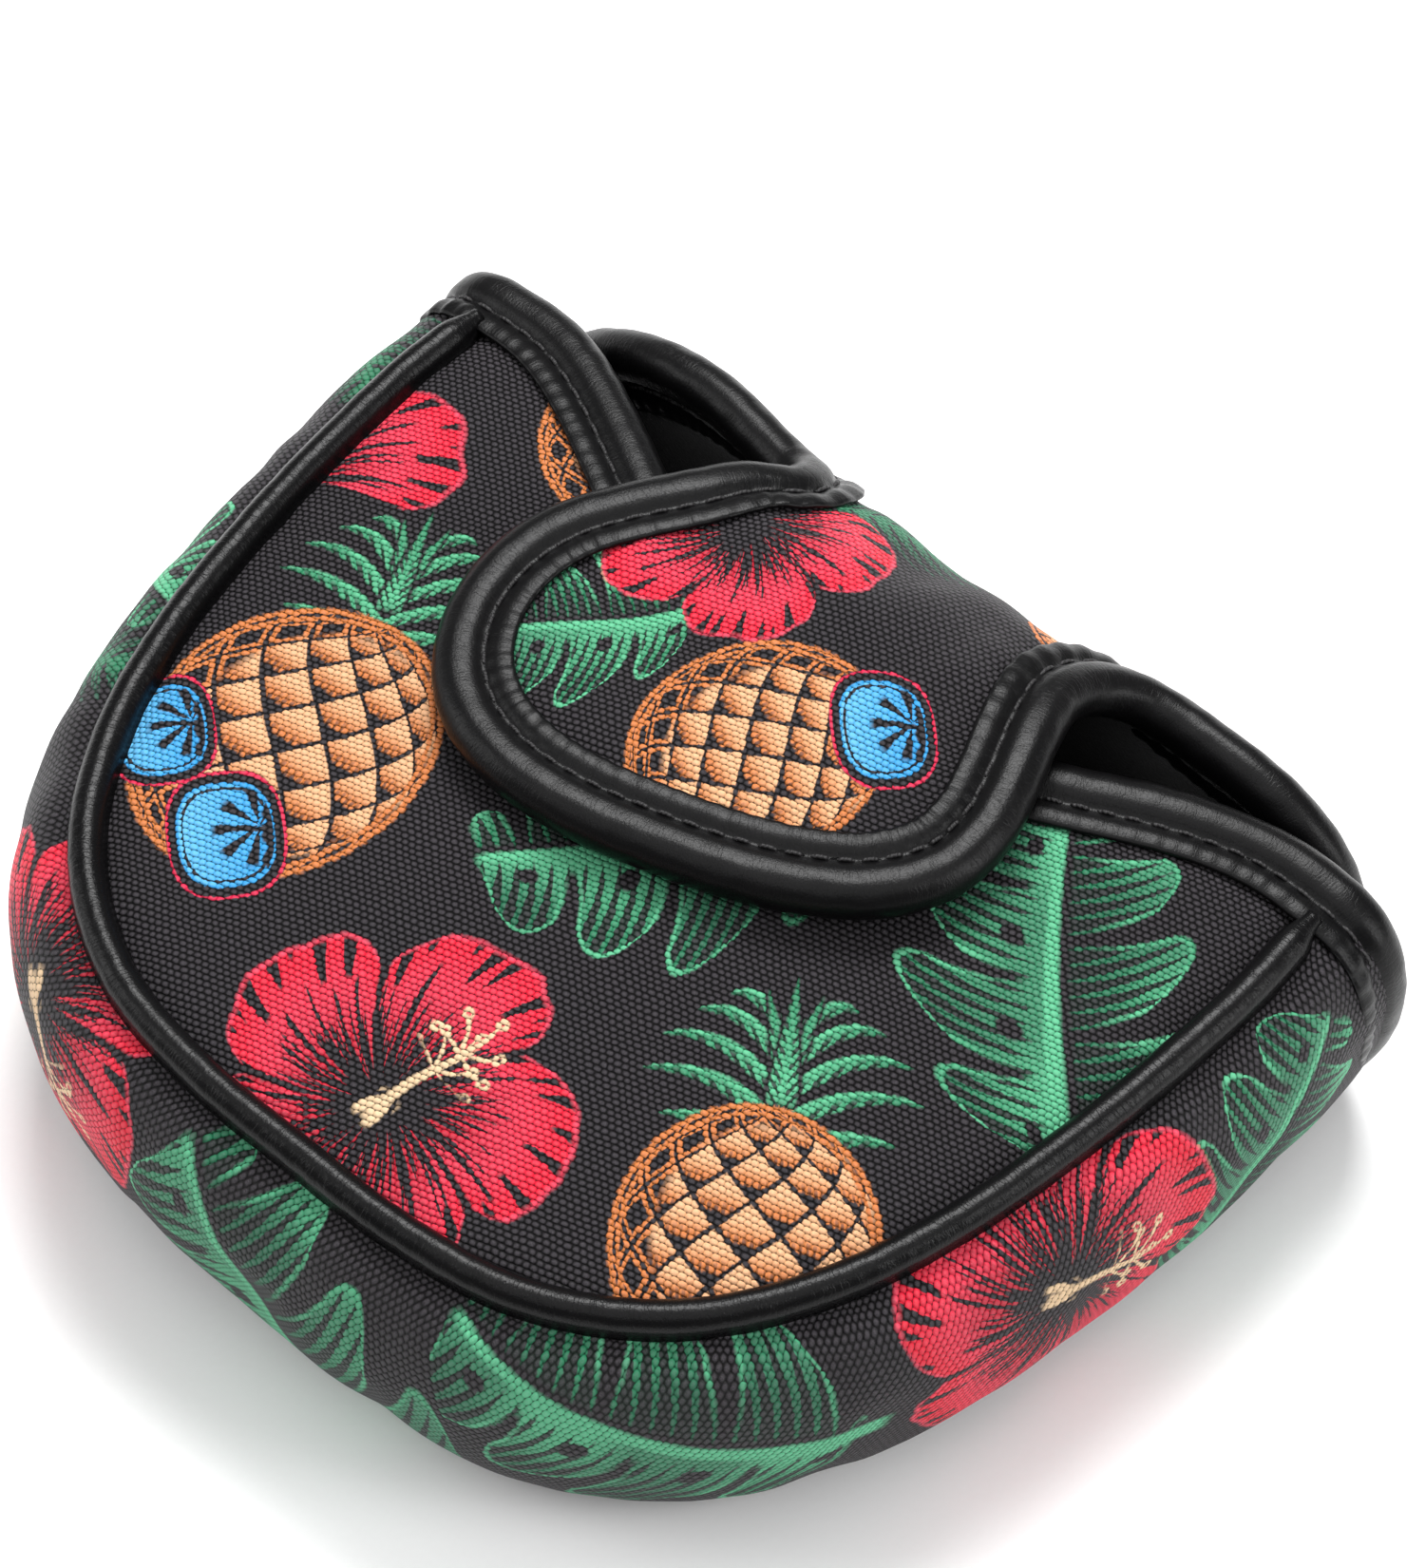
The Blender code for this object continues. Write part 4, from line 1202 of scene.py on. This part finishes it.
def piping(mat):
    pts, nrm = seam_stations(PIPING_END_Y, 0.45, 0.5)
    line = np.concatenate([pts, np.full((len(pts), 1), PIPING_Z)], 1)
    run = length_along(line)
    s, th = np.meshgrid(run, np.linspace(0, 2 * np.pi, 32, endpoint=False), indexing="ij")
    ridge = 1.05 * hump(th - np.radians(203), 0.20) + 0.7 * hump(th - np.radians(322), 0.2)
    creases = wave(s, th, 51, 2.6) * 0.024 + wave(s, th * 1.6, 52, 6.5) * 0.035
    creases += wave(s, th * 0.4, 53, 1.5) * 0.012
    r = (PIPING_R + ridge + creases) * (0.5 + 0.5 * smooth01(np.minimum(s, run[-1] - s) / 6.0))
    sections = np.stack([r * np.cos(th), r * np.sin(th)], -1)
    outward = np.concatenate([nrm, np.zeros((len(nrm), 1))], 1)
    up = np.repeat([[0.0, 0.0, 1.0]], len(line), 0)
    return sweep("crown_piping_cord", line, outward, up, sections, mat)


def floor(mat):
    n = 12
    xs = np.linspace(-FLOOR_HALF_W, FLOOR_HALF_W, n)
    verts = [(x, y - SHIFT_Y, 0.0) for x in xs for y in xs]
    faces = []
    for a in range((n - 1) * n):
        if a % n < n - 1:
            faces.append((a, a + n, a + n + 1, a + 1))
    obj = make_mesh("studio_floor", np.array(verts), faces, None, [mat], smooth=False)


# ---- prints, in each panel's millimetres
CROWN_PRINTS = {
    "pineapple": ((-44.5, -73, 98, 20.5), (52.5, -89.5, 124, 17.5), (-41, -3.5, 144, 15.5)),
    "leaf_crown": ((-47, -53, 112, 23), (46, -76.5, 124, 25)),
    "hibiscus": ((3.5, -105, 73, 25.5),),
    "bloom": ((-79, -41, 138, 27),),
    "lens": ((-40, -89, 135, 8.2), (-59, -82, 136, 7.6)),
    "monstera": ((17, -38, 229, 45), (69, -47, 128, 47)),
}
FACE_PRINTS = {
    "palm": ((-14, 3, 25, 28), (34, 26, 200, 30), (-66, 42, 20, 26)),
    "monstera": ((-16, -30, 222, 30), (64, 22, 120, 32), (-30, 24, 160, 34)),
    "bloom": ((-18, -10, -32, 20),),
    "hibiscus": ((-6, 37, 90, 18),),
    "pineapple": ((8, -37, 75, 16), (36, 44, 150, 13)),
    "leaf_crown": ((25, 51, 150, 17),),
    "lens": ((18.5, -23.5, 132, 7.2),),
    "slice_round": ((23, 11, 0, 6),),
}
GUSSET_PRINTS = {
    "hibiscus": ((-46, -9, -39, 25), (114, -13, -16, 25)),
    "monstera": ((24, -42, 134, 56), (76, -18, 160, 50), (138, -31, 42, 38),
                 (-126, -34, 62, 40)),
    "palm": ((-176, -22, 42, 32), (-100, -28, 80, 30)),
    "pineapple": ((-80, -30, 110, 13),),
}
SOLE_PRINTS = {
    "hibiscus": ((-6, 37, 90, 18), (-30, 115, 60, 24), (44, 88, 150, 22),
                 (10, 163, 20, 20)),
    "monstera": ((64, 22, 120, 32), (-30, 24, 160, 34), (20, 103, 30, 44),
                 (-60, 75, -20, 42), (-50, 151, 40, 38)),
    "pineapple": ((36, 44, 150, 13), (-4, 76, 100, 16), (48, 139, 60, 16)),
    "leaf_crown": ((-7, 93, 100, 20), (56, 153, 60, 20)),
}


# ---- build
SKY_STRENGTH = 0.24
LIGHT_AIM = (0.0, 0.0, 0.03)
# (name, place in metres, size in metres, watts)
LIGHTS = (("key", (-0.30, 0.50, 1.00), (0.60, 0.45), 17.0),
          ("overhead", (0.15, -0.25, 1.30), (1.5, 1.5), 9.0),
          ("rim", (0.95, 0.35, 0.55), (0.30, 0.9), 6.0),
          ("fill", (-0.9, -0.6, 0.6), (0.5, 0.9), 5.0))


def camera():
    az, el = math.radians(CAM_AZ), math.radians(CAM_EL)
    back = Vector((math.sin(az) * math.cos(el), -math.cos(az) * math.cos(el), math.sin(el)))
    right = Vector((math.cos(az), math.sin(az), 0.0))
    up = back.cross(right)
    target = Vector(place(CAM_TARGET))
    eye = target + back * CAM_DIST * 0.001
    aim = target + right * CAM_AIM[0] * 0.001 + up * CAM_AIM[1] * 0.001
    data = bpy.data.cameras.new("camera")
    cam = bpy.data.objects.new("camera", data)
    bpy.context.scene.collection.objects.link(cam)
    toward = (aim - eye).normalized()
    side = toward.cross(Vector((0.0, 0.0, 1.0))).normalized()
    pose = Matrix((side, side.cross(toward), -toward)).transposed().to_4x4()
    pose.translation = eye
    cam.matrix_world = pose
    data.sensor_width = CAM_SENSOR
    data.lens = CAM_DIST / CAM_VIEW_H * CAM_SENSOR
    data.clip_start = 0.05
    data.clip_end = 20.0
    bpy.context.scene.camera = cam


def area_light(name, spot, size, watts):
    """Soft rectangular light that faces the object."""
    data = bpy.data.lights.new(name, "AREA")
    data.shape = "RECTANGLE"
    data.size, data.size_y = size
    data.energy = watts
    obj = bpy.data.objects.new(name, data)
    bpy.context.scene.collection.objects.link(obj)
    obj.location = spot
    obj.rotation_euler = (Vector(LIGHT_AIM) - Vector(spot)).to_track_quat("-Z", "Y").to_euler()


def studio():
    world = bpy.data.worlds.new("studio")
    bpy.context.scene.world = world
    world.use_nodes = True
    sky = world.node_tree.nodes["Background"]
    sky.inputs["Color"].default_value = (1.0, 1.0, 1.0, 1.0)
    sky.inputs["Strength"].default_value = SKY_STRENGTH
    for light in LIGHTS:
        area_light(*light)
    bpy.context.scene.view_settings.view_transform = "Standard"
    bpy.context.scene.view_settings.look = "None"


def declare(obj, bodies, nodes, blend=None):
    if blend:
        tuple(place(blend[0]))
        tuple(place(blend[1]))
        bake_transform(obj)
    else:
        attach(obj, bodies[0])
    if nodes:
        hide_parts(*nodes)


def layers(stem):
    return [stem + "_" + kind for kind in ("shell", "foam", "lining")]


camera()
studio()
floor(studio_floor())

lining = lining_cloth()
binding_mat = leather("binding_satin", 0.35, 0.27, srgb("080809"))
piping_mat = leather("piping_grain", 0.5, 0.22, srgb("070708"))
thread_mat = thread()

crown = crown_panel([canvas("crown_print", CROWN_PRINTS), lining])
declare(crown, ["pouch"], layers("crown"))
gusset = gusset_panel([canvas("gusset_print", GUSSET_PRINTS, 50.0), lining])
declare(gusset, ["pouch"], layers("gusset"))
sole = sole_panel([canvas("sole_print", SOLE_PRINTS), lining])
declare(sole, ["pouch", "front_wall"], layers("sole"),
        blend=((0.0, 5.5, 2.0), (0.0, 11.0, LOWER_JOIN_Z - 1.2)))
FOLD = ((0.0, 11.5, 39.5), (0.0, 2.0, 48.0))
face = wall_flap_panel([canvas("face_print", FACE_PRINTS), lining])
declare(face, ["front_wall", "flap"], layers("front_wall") + layers("flap"),
        blend=FOLD)

cord = piping(piping_mat)
declare(cord, ["pouch"], ["crown_piping"])
mouth = mouth_path()
rim = sweep_binding("mouth_binding_roll", *mouth, binding_mat, 61)
declare(rim, ["pouch"], ["mouth_binding"])
declare(stitches("mouth_stitching", *mouth, thread_mat), ["pouch"], None)
edge = face_path()
trim = sweep_binding("wall_flap_binding", *edge, binding_mat, 71)
declare(trim, ["front_wall", "flap"],
        ["wall_binding_heel", "wall_binding_toe", "flap_binding"], blend=FOLD)
declare(stitches("wall_flap_stitching", *edge, thread_mat), ["front_wall", "flap"], None,
        blend=FOLD)

nickel = brushed_metal()
for node in ("crown_magnet_toe", "crown_magnet_heel", "flap_magnet_toe", "flap_magnet_heel"):
    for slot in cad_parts[node].material_slots:
        slot.material = nickel
